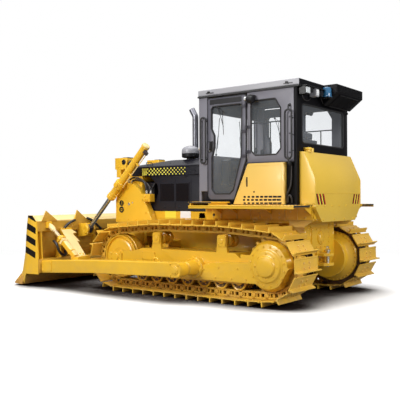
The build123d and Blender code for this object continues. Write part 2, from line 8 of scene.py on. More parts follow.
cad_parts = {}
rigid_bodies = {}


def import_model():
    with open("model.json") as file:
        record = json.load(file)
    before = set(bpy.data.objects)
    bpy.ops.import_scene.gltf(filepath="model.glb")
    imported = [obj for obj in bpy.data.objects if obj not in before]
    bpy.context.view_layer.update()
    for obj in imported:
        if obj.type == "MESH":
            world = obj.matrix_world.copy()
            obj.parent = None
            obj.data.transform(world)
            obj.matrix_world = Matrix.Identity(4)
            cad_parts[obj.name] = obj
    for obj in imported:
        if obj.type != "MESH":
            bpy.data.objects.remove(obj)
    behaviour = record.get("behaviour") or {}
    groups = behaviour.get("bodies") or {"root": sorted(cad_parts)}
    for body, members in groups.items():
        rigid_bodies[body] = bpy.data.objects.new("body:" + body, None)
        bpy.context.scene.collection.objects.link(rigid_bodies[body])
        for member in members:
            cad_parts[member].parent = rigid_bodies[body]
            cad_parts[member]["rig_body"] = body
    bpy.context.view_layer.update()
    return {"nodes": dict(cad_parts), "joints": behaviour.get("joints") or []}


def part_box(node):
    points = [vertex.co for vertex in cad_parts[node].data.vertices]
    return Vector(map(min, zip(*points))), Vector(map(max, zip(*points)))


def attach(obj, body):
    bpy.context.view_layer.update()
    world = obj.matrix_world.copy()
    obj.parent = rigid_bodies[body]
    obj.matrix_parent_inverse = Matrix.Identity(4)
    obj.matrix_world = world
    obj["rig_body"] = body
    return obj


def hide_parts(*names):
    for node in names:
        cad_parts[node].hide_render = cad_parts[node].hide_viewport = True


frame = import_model()
scene = bpy.context.scene
nodes = frame["nodes"]
lift_joint = next(j for j in frame["joints"] if j["name"] == "blade_lift")
X0 = lift_joint["pos_m"][0] - 1.175          # sprocket axle
SIDES = (("left", 1), ("right", -1))
TAU = 2 * math.pi


def at(x, y, z):
    return Vector((x / 1000 + X0, y / 1000, z / 1000))


# ================================================================ camera
THETA, PITCH, ROLL = 0.654616, -0.000299, -0.004367
right = Vector((-math.cos(THETA), -math.sin(THETA), 0))
ahead = Vector((math.sin(THETA), -math.cos(THETA), 0))
up = Vector((0, 0, 1))
look = ahead * math.cos(PITCH) + up * math.sin(PITCH)
rise = -ahead * math.sin(PITCH) + up * math.cos(PITCH)
cam_x = right * math.cos(ROLL) + rise * math.sin(ROLL)
cam_y = -right * math.sin(ROLL) + rise * math.cos(ROLL)
cam_data = bpy.data.cameras.new("camera")
cam_data.lens, cam_data.sensor_width = 57.357, 36.0
cam_data.shift_y = -0.0025
cam_data.clip_end = 200
camera = bpy.data.objects.new("camera", cam_data)
scene.collection.objects.link(camera)
m = Matrix((cam_x, cam_y, -look)).transposed().to_4x4()
m.translation = Vector((X0 - 4.2597, 8.1470, 1.3944))
camera.matrix_world = m
scene.camera = camera


# ================================================================ materials
M = {}


class Nodes:
    """A material's node tree, with short ways to add and join nodes."""

    def __init__(self, name):
        self.mat = bpy.data.materials.new(name)
        self.mat.use_nodes = True
        self.t = self.mat.node_tree
        self.bsdf = self.t.nodes["Principled BSDF"]
        self.out = self.t.nodes["Material Output"]
        M[name] = self.mat
        self.coord = self.add("ShaderNodeTexCoord").outputs["Object"]

    def add(self, kind, **settings):
        n = self.t.nodes.new(kind)
        for k, v in settings.items():
            setattr(n, k, v)
        return n

    def join(self, a, b):
        self.t.links.new(a, b)

    def noise(self, scale, detail=3.0, rough=0.55, coord=None, stretch=None):
        src = coord or self.coord
        if stretch:
            mp = self.add("ShaderNodeMapping")
            mp.inputs["Scale"].default_value = stretch
            self.join(src, mp.inputs["Vector"])
            src = mp.outputs["Vector"]
        n = self.add("ShaderNodeTexNoise")
        n.inputs["Scale"].default_value = scale
        n.inputs["Detail"].default_value = detail
        n.inputs["Roughness"].default_value = rough
        self.join(src, n.inputs["Vector"])
        return n.outputs["Fac"]

    def span(self, value, a, b, c, d):
        """value mapped from a..b to c..d, held at the ends."""
        n = self.add("ShaderNodeMapRange")
        for i, v in enumerate((a, b, c, d)):
            n.inputs[i + 1].default_value = v
        self.join(value, n.inputs[0])
        return n.outputs[0]

    def sum(self, kind, a, b):
        n = self.add("ShaderNodeMath", operation=kind)
        for i, v in enumerate((a, b)):
            if isinstance(v, (int, float)):
                n.inputs[i].default_value = v
            else:
                self.join(v, n.inputs[i])
        return n.outputs[0]

    def blend(self, fac, a, b):
        n = self.add("ShaderNodeMix", data_type="RGBA")
        for s, v in ((0, fac), (6, a), (7, b)):
            if isinstance(v, (int, float)):
                n.inputs[s].default_value = v
            elif isinstance(v, tuple):
                n.inputs[s].default_value = (*v, 1)
            else:
                self.join(v, n.inputs[s])
        return n.outputs[2]

    def bump(self, height, strength, distance):
        n = self.add("ShaderNodeBump")
        n.inputs["Strength"].default_value = strength
        n.inputs["Distance"].default_value = distance
        self.join(height, n.inputs["Height"])
        self.join(n.outputs[0], self.bsdf.inputs["Normal"])

    def set(self, **values):
        names = {"coat": "Coat Weight", "coat_rough": "Coat Roughness", "metal": "Metallic", "rough": "Roughness", "ior": "IOR",
                 "spec": "Specular IOR Level", "sheen": "Sheen Weight", "color": "Base Color", "clear": "Transmission Weight"}
        for k, v in values.items():
            self.bsdf.inputs[names[k]].default_value = (*v, 1) if isinstance(v, tuple) else v


def paint(name, color, rough=0.32, coat=0.35, coat_rough=0.08, vary=0.10, low_tint=0.35, low_tint_color=(0.42, 0.27, 0.11), low_tint_top=0.75,
          peel=0.05, chips=0.0, chip_color=(0.16, 0.12, 0.09), spec=0.5):
    """Sprayed enamel: slow colour drift, uneven gloss, orange peel, a browner and rougher tint in patches towards the
    bottom and, if asked, rubbed patches.
    """
    n = Nodes(name)
    drift = n.span(n.noise(1.7, 3), 0.3, 0.7, 0.0, 1.0)
    deep = tuple(c * (1 - vary) for c in color)
    tone = n.blend(drift, color, deep)
    # browner tint in noise patches, stronger towards the bottom, with raised roughness where it lies
    xyz = n.add("ShaderNodeSeparateXYZ")
    n.join(n.coord, xyz.inputs[0])
    low = n.span(xyz.outputs[2], 0.0, low_tint_top, 1.0, 0.0)
    patch = n.span(n.noise(6.5, 5, 0.65), 0.42, 0.68, 0.0, 1.0)
    low_tint_mask = n.sum("MULTIPLY", n.sum("MULTIPLY", low, patch), low_tint)
    tone = n.blend(low_tint_mask, tone, low_tint_color)
    gloss = n.span(n.noise(38, 4), 0.3, 0.7, rough - 0.05, rough + 0.07)
    gloss = n.sum("ADD", gloss, n.sum("MULTIPLY", low_tint_mask, 0.35))
    if chips:
        spots = n.span(n.noise(55, 6, 0.7), 0.66 - chips, 0.70 - chips, 0.0, 1.0)
        tone = n.blend(spots, tone, chip_color)
        gloss = n.sum("ADD", gloss, n.sum("MULTIPLY", spots, 0.12))
    n.join(tone, n.bsdf.inputs["Base Color"])
    n.join(gloss, n.bsdf.inputs["Roughness"])
    n.set(coat=coat, coat_rough=coat_rough, spec=spec)
    n.bump(n.noise(420, 2), peel, 0.0006)
    return n


YELLOW = (0.80, 0.462, 0.023)
paint("yellow", YELLOW)
paint("yellow_box", (0.78, 0.52, 0.115), rough=0.38, coat=0.2, vary=0.05)
paint("yellow_tank", (0.76, 0.49, 0.050), rough=0.36, coat=0.25, vary=0.06)
# darker brown yellow for the blade's rear-facing faces: painted shade
paint("yellow_painted_shade", (0.60, 0.335, 0.040), rough=0.45, coat=0.1, vary=0.12, low_tint=0.2)
paint("door_grey", (0.105, 0.103, 0.130), rough=0.46, coat=0.10, coat_rough=0.2, vary=0.12, low_tint=0.0, spec=0.3)
# pale yellow: a painted highlight on up-facing faces of the blade beam and the tilt braces, and the paler colour of the
# small brace and barrel parts
paint("yellow_pale_and_painted_highlight", (0.80, 0.60, 0.25), rough=0.4, coat=0.2, vary=0.06, low_tint=0.1)
paint("yellow_track", (0.76, 0.45, 0.040), rough=0.42, coat=0.15, low_tint=0.55, low_tint_color=(0.40, 0.24, 0.10), low_tint_top=1.0, peel=0.14, chips=0.02)
paint("yellow_worn", (0.80, 0.50, 0.11), rough=0.45, coat=0.1, chips=0.08, chip_color=(0.30, 0.24, 0.16))
paint("edge_steel", (0.60, 0.30, 0.05), rough=0.45, coat=0.1, chips=0.09, chip_color=(0.22, 0.15, 0.09))
paint("black_paint", (0.0070, 0.0065, 0.0120), rough=0.30, coat=0.30, coat_rough=0.06, vary=0.2, low_tint=0.0, spec=0.4)
paint("rear_black", (0.0045, 0.0042, 0.0055), rough=0.5, coat=0.0, vary=0.2, low_tint=0.0, spec=0.12)
# dark oily brown: real oil and grime, also laid on gaps round the tracks and drive as painted shade
paint("oily_and_painted_shade", (0.085, 0.040, 0.022), rough=0.5, coat=0.0, vary=0.3, low_tint=0.3)
paint("panel_black", (0.0125, 0.0120, 0.0190), rough=0.42, coat=0.10, coat_rough=0.15, vary=0.25, low_tint=0.0, spec=0.3)
# darker, duller black for louvre recesses: painted shade inside the recesses
paint("panel_recess_painted_shade", (0.0060, 0.0040, 0.0060), rough=0.6, coat=0.0, vary=0.2, low_tint=0.0, spec=0.15)
paint("cab_grey", (0.185, 0.180, 0.212), rough=0.48, coat=0.10, coat_rough=0.2, vary=0.10, low_tint=0.0, spec=0.35)
paint("cab_light", (0.36, 0.358, 0.385), rough=0.50, coat=0.08, coat_rough=0.2, vary=0.06, low_tint=0.0, spec=0.3)
paint("cab_dark", (0.045, 0.042, 0.056), rough=0.45, coat=0.10, coat_rough=0.2, vary=0.15, low_tint=0.0, spec=0.3)
paint("black_trim", (0.006, 0.0055, 0.007), rough=0.45, coat=0.05, vary=0.2, low_tint=0.0, spec=0.3)
paint("stripe_black", (0.0060, 0.0035, 0.0025), rough=0.5, coat=0.0, low_tint=0.05, spec=0.2)
paint("white_plate", (0.86, 0.86, 0.86), rough=0.35, vary=0.03, low_tint=0.05)
paint("label_yellow", (0.88, 0.74, 0.06), rough=0.35, vary=0.04, low_tint=0.05)
paint("strip_yellow", (0.82, 0.76, 0.10), rough=0.4, vary=0.06, low_tint=0.0)
paint("reflector_red", (0.52, 0.03, 0.015), rough=0.25, coat=0.6, vary=0.05, low_tint=0.0)
paint("reflector_pale", (0.86, 0.70, 0.30), rough=0.25, coat=0.6, vary=0.05, low_tint=0.0)
paint("console", (0.055, 0.055, 0.06), rough=0.55, coat=0.0, peel=0.5, low_tint=0.0)
paint("precleaner_grey", (0.30, 0.30, 0.33), rough=0.4, coat=0.2, low_tint=0.0)
paint("lamp_blue", (0.02, 0.12, 0.25), rough=0.12, coat=0.9, vary=0.1, low_tint=0.0)


def rubber(name, color, rough=0.6):
    n = Nodes(name)
    shade = n.span(n.noise(30, 4), 0.3, 0.7, 0.0, 1.0)
    n.join(n.blend(shade, color, tuple(c * 1.7 for c in color)), n.bsdf.inputs["Base Color"])
    n.join(n.span(n.noise(90, 3), 0.3, 0.7, rough - 0.1, rough + 0.1), n.bsdf.inputs["Roughness"])
    n.bump(n.noise(700, 3), 0.25, 0.0005)
    return n


rubber("rubber", (0.010, 0.010, 0.011))
rubber("hose", (0.014, 0.012, 0.012), 0.45)


def metal(name, color, rough=0.3, stretch=None, vary=0.25, bump=0.05, metallic=1.0):
    n = Nodes(name)
    streak = n.span(n.noise(60, 4, stretch=stretch), 0.3, 0.7, 0.0, 1.0)
    n.join(n.blend(streak, color, tuple(c * (1 - vary) for c in color)), n.bsdf.inputs["Base Color"])
    n.join(n.span(n.noise(140, 3, stretch=stretch), 0.3, 0.7, rough - 0.06, rough + 0.1), n.bsdf.inputs["Roughness"])
    n.set(metal=metallic)
    n.bump(n.noise(300, 3, stretch=stretch), bump, 0.0005)
    return n


metal("chrome", (0.50, 0.50, 0.50), 0.16, vary=0.12, bump=0.02)
metal("zinc", (0.74, 0.70, 0.62), 0.34)
metal("dark_steel", (0.075, 0.060, 0.062), 0.45, metallic=0.6)
metal("exhaust_steel", (0.22, 0.22, 0.25), 0.40, stretch=(1, 1, 0.15))
metal("cast", (0.045, 0.043, 0.045), 0.55, bump=0.4, metallic=0.35)
metal("mirror", (0.85, 0.85, 0.87), 0.06, vary=0.02, bump=0.0)


def fabric(name, color, dark):
    """Woven cover: two crossed wave sets, with a soft nap."""
    n = Nodes(name)
    threads = []
    for direction in ("X", "Y"):
        w = n.add("ShaderNodeTexWave", wave_type="BANDS", bands_direction=direction)
        w.inputs["Scale"].default_value = 210
        w.inputs["Distortion"].default_value = 0.6
        n.join(n.coord, w.inputs["Vector"])
        threads.append(w.outputs["Fac"])
    weave = n.sum("MULTIPLY", threads[0], threads[1])
    patch = n.span(n.noise(14, 4), 0.35, 0.65, 0.0, 0.45)
    n.join(n.blend(n.sum("ADD", n.sum("MULTIPLY", weave, 0.5), patch), color, dark), n.bsdf.inputs["Base Color"])
    n.join(n.span(n.noise(80, 3), 0.3, 0.7, 0.78, 0.95), n.bsdf.inputs["Roughness"])
    n.set(sheen=0.35)
    n.bump(weave, 0.5, 0.0008)
    return n


fabric("seat_fabric", (0.085, 0.085, 0.095), (0.03, 0.03, 0.036))


def glass(name, tint, body, share):
    """Safety glass: lamps and bounced light pass straight through, and sight rays see its tint and its mirror image."""
    n = Nodes(name)
    smear = n.span(n.noise(5, 4, 0.6), 0.35, 0.75, 0.015, 0.05)
    n.join(smear, n.bsdf.inputs["Roughness"])
    n.set(color=body, ior=1.52, spec=0.5, coat=0.6, coat_rough=0.02)
    through = n.add("ShaderNodeBsdfTransparent")
    through.inputs[0].default_value = (*tint, 1)
    mix = n.add("ShaderNodeMixShader")
    veil = n.span(n.noise(2.2, 3, 0.5), 0.3, 0.7, share * 0.75, share * 1.25)
    n.join(veil, mix.inputs[0])
    n.join(through.outputs[0], mix.inputs[1])
    n.join(n.bsdf.outputs[0], mix.inputs[2])
    n.join(mix.outputs[0], n.out.inputs["Surface"])
    return n


glass("cab_glass", (0.985, 0.990, 0.995), (0.72, 0.78, 0.84), 0.055)


def lens(name, color, rough=0.12):
    """Moulded lamp lens: a ribbed pattern over a bright reflector tone."""
    n = Nodes(name)
    w = n.add("ShaderNodeTexWave", wave_type="BANDS", bands_direction="DIAGONAL")
    w.inputs["Scale"].default_value = 45
    n.join(n.coord, w.inputs["Vector"])
    n.join(n.blend(n.span(w.outputs["Fac"], 0, 1, 0, 0.5), color, tuple(c * 0.6 for c in color)), n.bsdf.inputs["Base Color"])
    n.set(rough=rough, coat=1.0, coat_rough=0.03)
    n.bump(w.outputs["Fac"], 0.4, 0.002)
    return n


lens("lens_clear", (0.75, 0.78, 0.80))


# ================================================================ mesh building
class Shape:
    """Faces of one piece; each face carries a material number."""

    def __init__(self):
        self.v, self.f, self.m = [], [], []

    def put(self, points, faces, mat=0):
        base = len(self.v)
        self.v += list(points)
        self.f += [tuple(base + i for i in f) for f in faces]
        self.m += [mat] * len(faces)

    def prism(self, points, shift, mat=0):
        n = len(points)
        self.put(list(points) + [p + shift for p in points],
                 [tuple(range(n)), tuple(range(2 * n - 1, n - 1, -1))] + [(i, n + i, n + (i + 1) % n, (i + 1) % n) for i in range(n)], mat)

    def side(self, outline, ya, yb, mat=0):
        self.prism([at(x, ya, z) for x, z in outline], Vector((0, (yb - ya) / 1000, 0)), mat)

    def level(self, outline, za, zb, mat=0):
        self.prism([at(x, y, za) for x, y in outline], Vector((0, 0, (zb - za) / 1000)), mat)

    def front(self, outline, xa, xb, mat=0):
        self.prism([at(xa, y, z) for y, z in outline], Vector(((xb - xa) / 1000, 0, 0)), mat)

    def box(self, xa, xb, ya, yb, za, zb, mat=0):
        self.side([(xa, za), (xb, za), (xb, zb), (xa, zb)], ya, yb, mat)

    def turn(self, centre, axis, profile, seg=32, mat=0, closed=False, phase=0.0):
        """Revolves profile (distance along axis, radius), mm. An open profile runs from pole to pole; a closed one is a ring's section."""
        axis = Vector(axis).normalized()
        side_dir = axis.orthogonal().normalized()
        other = axis.cross(side_dir)
        points, rings = [], []
        for t, r in profile:
            if r < 0.01 and not closed:
                rings.append([len(points)] * seg)
                points.append(centre + axis * (t / 1000))
                continue
            rings.append(list(range(len(points), len(points) + seg)))
            for i in range(seg):
                a = TAU * i / seg + phase
                points.append(centre + axis * (t / 1000) + (side_dir * math.cos(a) + other * math.sin(a)) * (r / 1000))
        faces = []
        pairs = list(zip(rings, rings[1:])) + ([(rings[-1], rings[0])] if closed else [])
        for a, b in pairs:
            for i in range(seg):
                j = (i + 1) % seg
                f = [a[i], a[j], b[j], b[i]]
                f = [v for k, v in enumerate(f) if v not in f[:k]]
                if len(f) > 2:
                    faces.append(tuple(f))
        self.put(points, faces, mat)

    def wheel(self, x, y, z, profile, seg=48, mat=0, closed=False):
        """turn() about a level axle; the profile's distances are measured from y."""
        self.turn(at(x, y, z), (0, 1, 0), profile, seg, mat, closed)

    def rod(self, a, b, r, seg=12, mat=0):
        length = (b - a).length * 1000
        self.turn(a, b - a, [(0, 0), (0, r), (length, r), (length, 0)], seg, mat)

    def tube(self, path, r, seg=10, mat=0, closed=False):
        """Round bar along a path of points."""
        n = len(path)
        frames, prev = [], None
        for i in range(n):
            if closed:
                t = (path[(i + 1) % n] - path[i - 1]).normalized()
            else:
                t = (path[min(i + 1, n - 1)] - path[max(i - 1, 0)]).normalized()
            u = t.orthogonal().normalized() if prev is None else (prev - t * prev.dot(t)).normalized()
            prev = u
            frames.append((u, t.cross(u)))
        points, faces = [], []
        for p, (u, w) in zip(path, frames):
            points += [p + (u * math.cos(TAU * k / seg) + w * math.sin(TAU * k / seg)) * (r / 1000) for k in range(seg)]
        for i in range(n if closed else n - 1):
            j = (i + 1) % n
            faces += [(i * seg + k, i * seg + (k + 1) % seg, j * seg + (k + 1) % seg, j * seg + k) for k in range(seg)]
        if not closed:
            faces += [tuple(range(seg)), tuple((n - 1) * seg + k for k in range(seg))]
        self.put(points, faces, mat)

    def bolt(self, p, axis, r=11, h=8, mat=0, washer=True):
        """Hexagon head on a washer."""
        if washer:
            self.turn(p, axis, [(-1, 0), (-1, r * 1.35), (2, r * 1.35), (2, 0)], 14, mat)
        self.turn(p, axis, [(0, 0), (0, r), (h * 0.8, r), (h, r * 0.86), (h, 0)], 6, mat)


def rounded(points, radius, steps=5, closed=False):
    """The same route with each corner turned on an arc, all in metres but the radius in mm."""
    radius, out, n = radius / 1000, [], len(points)
    for i in range(n):
        if not closed and i in (0, n - 1):
            out.append(points[i])
            continue
        p, a, b = points[i], points[i - 1], points[(i + 1) % n]
        u, w = (a - p).normalized(), (b - p).normalized()
        angle = u.angle(w)
        if angle > math.pi - 0.02:
            out.append(p)
            continue
        cut = min(radius / math.tan(angle / 2), 0.48 * (a - p).length, 0.48 * (b - p).length)
        r = cut * math.tan(angle / 2)
        middle = p + (u + w).normalized() * (r / math.sin(angle / 2))
        start, end = p + u * cut - middle, p + w * cut - middle
        whole = start.angle(end)
        for k in range(steps + 1):
            f = k / steps
            out.append(middle + (start * math.sin((1 - f) * whole) + end * math.sin(f * whole)) / math.sin(whole))
    return out


def make(name, mesh, body, bevel=0.0, seg=2, angle=30, stands_for=()):
    ob = bpy.data.objects.new(name, mesh)
    scene.collection.objects.link(ob)
    if bevel:
        b = ob.modifiers.new("edges", "BEVEL")
        b.width, b.segments, b.limit_method, b.angle_limit = bevel / 1000, seg, "ANGLE", math.radians(angle)
        b.harden_normals = True
    else:
        mesh.set_sharp_from_angle(angle=math.radians(angle))
    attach(ob, body)
    if stands_for:
        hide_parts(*stands_for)
    return ob


def piece(shape, name, body, mats, bevel=0.0, seg=2, angle=30, stands_for=()):
    mesh = bpy.data.meshes.new(name)
    mesh.from_pydata(shape.v, [], shape.f)
    for mat in mats:
        mesh.materials.append(M[mat])
    mesh.polygons.foreach_set("material_index", shape.m)
    bm = bmesh.new()
    bm.from_mesh(mesh)
    bmesh.ops.recalc_face_normals(bm, faces=bm.faces)
    for f in bm.faces:
        f.smooth = True
    bm.to_mesh(mesh)
    bm.free()
    return make(name, mesh, body, bevel, seg, angle, stands_for)


def skin(node, mats, bevel=4.0, seg=2, angle=28, choose=None):
    """The CAD node's own surface with its edges eased. choose(centre, normal) gives a face's material number; centre is mm ahead of the axle."""
    src = nodes[node]
    bm = bmesh.new()
    bm.from_mesh(src.data)
    bmesh.ops.remove_doubles(bm, verts=bm.verts, dist=2e-5)
    bmesh.ops.dissolve_limit(bm, angle_limit=math.radians(0.5), verts=bm.verts, edges=bm.edges)
    for f in bm.faces:
        f.smooth = True
        c = f.calc_center_median()
        f.material_index = choose(((c.x - X0) * 1000, c.y * 1000, c.z * 1000), f.normal) if choose else 0
    mesh = bpy.data.meshes.new(node + "_shell")
    bm.to_mesh(mesh)
    bm.free()
    for layer in list(mesh.uv_layers):
        mesh.uv_layers.remove(layer)
    for mat in mats:
        mesh.materials.append(M[mat])
    return make(node + "_shell", mesh, src["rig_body"], bevel, seg, angle, (node,))


# ================================================================ tracks
PITCH, SHOES, MID = 203.0, 39, 970.0
Z_SPROCKET, R_SPROCKET, Z_IDLER, R_IDLER, X_IDLER = 527.0, 392.2, 515.0, 393.0, 2736.2
CARRIERS, Z_CARRIER = (750.0, 1920.0), 821.0
X_TRUNNION = 1175.0


def chain_pins():
    """Pins one pitch apart round the rollers, idler and sprocket, as the CAD loop has them."""
    def arc(cx, cz, r, a, b):
        n = max(2, int(abs(b - a) / 2))
        return [(cx + r * math.cos(math.radians(a + (b - a) * i / n)), cz + r * math.sin(math.radians(a + (b - a) * i / n))) for i in range(n + 1)]
    path = [(496, 122)] + arc(X_IDLER, Z_IDLER, R_IDLER, -90, 89.5) + [(x, 974) for x in reversed(CARRIERS)] + arc(0, Z_SPROCKET, R_SPROCKET, 91, 272)
    path.append(path[0])
    pins, here, k = [path[0]], path[0], 0
    while k < len(path) - 1 and len(pins) < SHOES:
        end = path[k + 1]
        if math.dist(here, end) < PITCH:
            k += 1
            continue
        start = path[k] if math.dist(here, path[k]) < PITCH else here
        low, high = 0.0, 1.0
        for _ in range(50):
            mid = (low + high) / 2
            trial = (start[0] + (end[0] - start[0]) * mid, start[1] + (end[1] - start[1]) * mid)
            if math.dist(here, trial) < PITCH:
                low = mid
            else:
                high = mid
        here = trial
        pins.append(here)
    return pins


PINS = chain_pins()


def link_frames():
    """Each shoe's own axes: pin point, direction along the chain and direction outward, in the side view."""
    out = []
    for k, p in enumerate(PINS):
        q = PINS[(k + 1) % SHOES]
        d = math.dist(p, q)
        t = ((q[0] - p[0]) / d, (q[1] - p[1]) / d)
        out.append((p, t, (t[1], -t[0])))
    return out


def build_track(side_name, s):
    mid = s * MID
    plates, links, bolts = Shape(), Shape(), Shape()
    for p, t, n in link_frames():
        def at_link(a, o, y):
            """a along the shoe from its first pin, o outward from the pin line, y across the machine."""
            return at(p[0] + t[0] * a + n[0] * o, y, p[1] + t[1] * a + n[1] * o)

        def slab(outline, ya, yb, shape, mat=0):
            shape.prism([at_link(a, o, ya) for a, o in outline], Vector((0, (yb - ya) / 1000, 0)), mat)
        # plate: trailing lip curved outward, one tall grouser near the front pin, leading lip
        slab([(-10, 47), (168, 47), (182, 52), (188, 60), (184, 64), (177, 62), (174, 122), (160, 122), (155, 64), (148, 60), (14, 60), (4, 66), (-9, 66), (-15, 58)],
             mid - 299, mid + 299, plates)
        # two rails of links: pin end and bush end overlap, with windows between them
        for o in (1, -1):
            # links of the inner rail near the sprocket take the dark oily material: oil and painted shade
            for side_in, a0, a1, low, high in ((54, -36, 46, -40, 40), (66, 16, 186, -51, -22), (66, 16, 186, 24, 47), (66, 84, 118, -22, 24), (54, 150, 178, -34, 40)):
                y0 = mid + o * side_in
                slab([(a0 + 6, low), (a1 - 6, low), (a1, low + 8), (a1, high), (a0, high), (a0, low + 8)], y0, y0 + o * (30 if side_in == 54 else 27), links,
                     1 if o == -s and p[0] < 260 else 0)
            # rail head that the rollers run on
            slab([(-26, -40), (-20, -51), (182, -51), (188, -40)], mid + o * 50, mid + o * 97, links)
            links.turn(at_link(0, 0, mid + o * 84), (0, o, 0), [(0, 0), (0, 33), (7, 31), (11, 27), (11, 19), (8, 17), (8, 0)], 14, 1 if o == -s and p[0] < 260 else 0)
        links.rod(at_link(0, 0, mid - 88), at_link(0, 0, mid + 88), 28, 12)
        for y in (-70, 70):
            for a in (60, 122):
                bolts.bolt(at_link(a, 60, mid + y), (n[0], 0, n[1]), 13, 13, 0)
                bolts.turn(at_link(a, 47, mid + y), (-n[0], 0, -n[1]), [(0, 0), (0, 15), (14, 15), (14, 0)], 6)
    # one grouser outline per shoe, run the full width of the plate
    piece(plates, "track_plates_" + side_name, "machine", ["yellow_track"], 2.2, 1, 25, ("track_" + side_name,))
    piece(links, "track_links_" + side_name, "machine", ["yellow_track", "oily_and_painted_shade"], 2.0, 1, 32, ())
    piece(bolts, "track_bolts_" + side_name, "machine", ["yellow_worn"], 0, 1, 30, ())


def build_wheels(side_name, s):
    mid = s * MID
    w = Shape()
    for i in range(7):
        x = 520 + 291.7 * i
        w.wheel(x, mid, 277, [(-136, 0), (-136, 30), (-130, 38), (-118, 44), (-104, 48), (-103, 88), (-110, 98), (-112, 108), (-107, 116), (-99, 116), (-96, 112),
                              (-94, 101), (-52, 101), (-44, 84), (44, 84), (52, 101), (94, 101), (96, 112), (99, 116), (107, 116), (112, 108), (110, 98),
                              (103, 88), (104, 48), (118, 44), (130, 38), (136, 30), (136, 0)], 36)
        # dark rings in the roller ends: oil and mud, with painted shade
        for o in (1, -1):
            w.wheel(x, mid, 277, [(o * 101, 48), (o * 104.5, 49), (o * 104.5, 87), (o * 101, 88)], 36, 1, True)
        for a in range(6):
            ang = TAU * a / 6
            for o in (1, -1):
                w.bolt(at(x + 66 * math.cos(ang), mid + o * 104, 277 + 66 * math.sin(ang)), (0, o, 0), 8, 7, 0, False)
    for x in CARRIERS:
        # carrier roller: two broad flanges with turned grooves, and a hub cap on its outboard end
        for o in (s, -s):
            w.wheel(x, mid, Z_CARRIER, [(o * 36, 0), (o * 36, 66), (o * 44, 84), (o * 48, 95), (o * 56, 96), (o * 60, 84), (o * 70, 84), (o * 74, 96),
                                        (o * 83, 96), (o * 87, 84), (o * 95, 84), (o * 99, 95), (o * 106, 95), (o * 110, 88), (o * 109, 80), (o * 101, 74), (o * 100, 50), (o * 108, 44), (o * 112, 40), (o * 112, 0)], 40)
        w.wheel(x, mid, Z_CARRIER, [(-44, 0), (-44, 68), (44, 68), (44, 0)], 32)
        w.wheel(x, mid, Z_CARRIER, [(s * 108, 0), (s * 108, 60), (s * 118, 58), (s * 124, 52), (s * 130, 50), (s * 130, 0)], 32)
    piece(w, "track_rollers_" + side_name, "machine", ["yellow", "oily_and_painted_shade"], 2.0, 1, 28, ("rollers_" + side_name,))

    # idler: dished disc with a machined rim
    d = Shape()
    rim = math.sqrt(R_IDLER ** 2 - (PITCH / 2) ** 2) - 53
    d.wheel(X_IDLER, mid, Z_IDLER, [(-s * 112, 0), (-s * 112, 88), (-s * 106, 95), (-s * 60, 112), (-s * 58, 280), (-s * 90, 302), (-s * 95, 308), (-s * 95, rim - 4),
                                    (-s * 91, rim), (-s * 52, rim), (-s * 48, rim + 12), (-s * 44, rim + 14), (s * 44, rim + 14), (s * 48, rim + 12), (s * 52, rim),
                                    (s * 91, rim), (s * 95, rim - 4), (s * 95, 308), (s * 90, 300), (s * 66, 290), (s * 64, 284), (s * 70, 276), (s * 90, 272),
                                    (s * 97, 262), (s * 104, 250), (s * 108, 230), (s * 111, 150), (s * 111, 128), (s * 106, 122), (s * 104, 96), (s * 108, 90),
                                    (s * 113, 84), (s * 113, 0)], 72)
    for a in range(8):
        ang = TAU * (a + 0.5) / 8
        d.bolt(at(X_IDLER + 106 * math.cos(ang), mid + s * 105, Z_IDLER + 106 * math.sin(ang)), (0, s, 0), 9, 6, 0)
    piece(d, "track_idler_" + side_name, "machine", ["yellow"], 2.0, 2, 26, ("idler_" + side_name,))

    g = Shape()
    # toothed ring: teeth with rounded flanks
    teeth, outline = 24, []
    for k in range(teeth):
        for turn, r in ((-5.8, 360), (-4.6, 368), (-2.9, 394), (-1.9, 408), (-0.9, 412), (0.9, 412), (1.9, 408), (2.9, 394), (4.6, 368), (5.8, 360)):
            a = math.radians(360 / teeth * k + turn)
            outline.append((r * math.cos(a), Z_SPROCKET + r * math.sin(a)))
    g.side(outline, mid - 24, mid + 24)
    g.wheel(0, mid, Z_SPROCKET, [(-s * 40, 0), (-s * 40, 250), (-s * 27, 324), (-s * 20, 324), (-s * 20, 0)], 64)
    for a in range(24):
        ang = TAU * (a + 0.5) / 24
        g.bolt(at(342 * math.cos(ang), mid + s * 24, Z_SPROCKET + 342 * math.sin(ang)), (0, s, 0), 9, 8, 0)
        g.bolt(at(342 * math.cos(ang), mid - s * 24, Z_SPROCKET + 342 * math.sin(ang)), (0, -s, 0), 9, 8, 0)
    piece(g, "track_sprocket_" + side_name, "machine", ["yellow_track"], 1.6, 1, 28, ("sprocket_" + side_name,))

    # drive case between the housing and the sprocket, with its ring of bolts
    c = Shape()
    c.wheel(0, 0, Z_SPROCKET, [(s * 450, 0), (s * 450, 296), (s * 454, 300), (s * 494, 300), (s * 500, 296), (s * 503, 246), (s * 512, 236), (s * 590, 240),
                               (s * 640, 262), (s * 672, 300), (s * 690, 350), (s * 694, 366), (s * 700, 372), (s * 738, 372), (s * 744, 366), (s * 760, 350),
                               (s * 866, 350), (s * 868, 302), (s * 880, 292), (s * 928, 252), (s * 930, 0)], 72)
    # thin dark ring in the gap between the case and the shoes, no part of the machine: painted shadow
    c.wheel(0, 0, Z_SPROCKET, [(s * 746, 348), (s * 746, 430), (s * 754, 430), (s * 754, 348)], 72, 1, True)
    for k in range(36):
        ang = TAU * k / 36
        c.bolt(at(355 * math.cos(ang), s * 693, Z_SPROCKET + 355 * math.sin(ang)), (0, -s, 0), 10, 12, 0)
    for k in range(16):
        ang = TAU * k / 16
        c.bolt(at(275 * math.cos(ang), s * 500, Z_SPROCKET + 275 * math.sin(ang)), (0, s, 0), 11, 9, 0)
    piece(c, "drive_case_" + side_name, "machine", ["yellow", "oily_and_painted_shade"], 2.0, 2, 26, ("final_drive_" + side_name,))


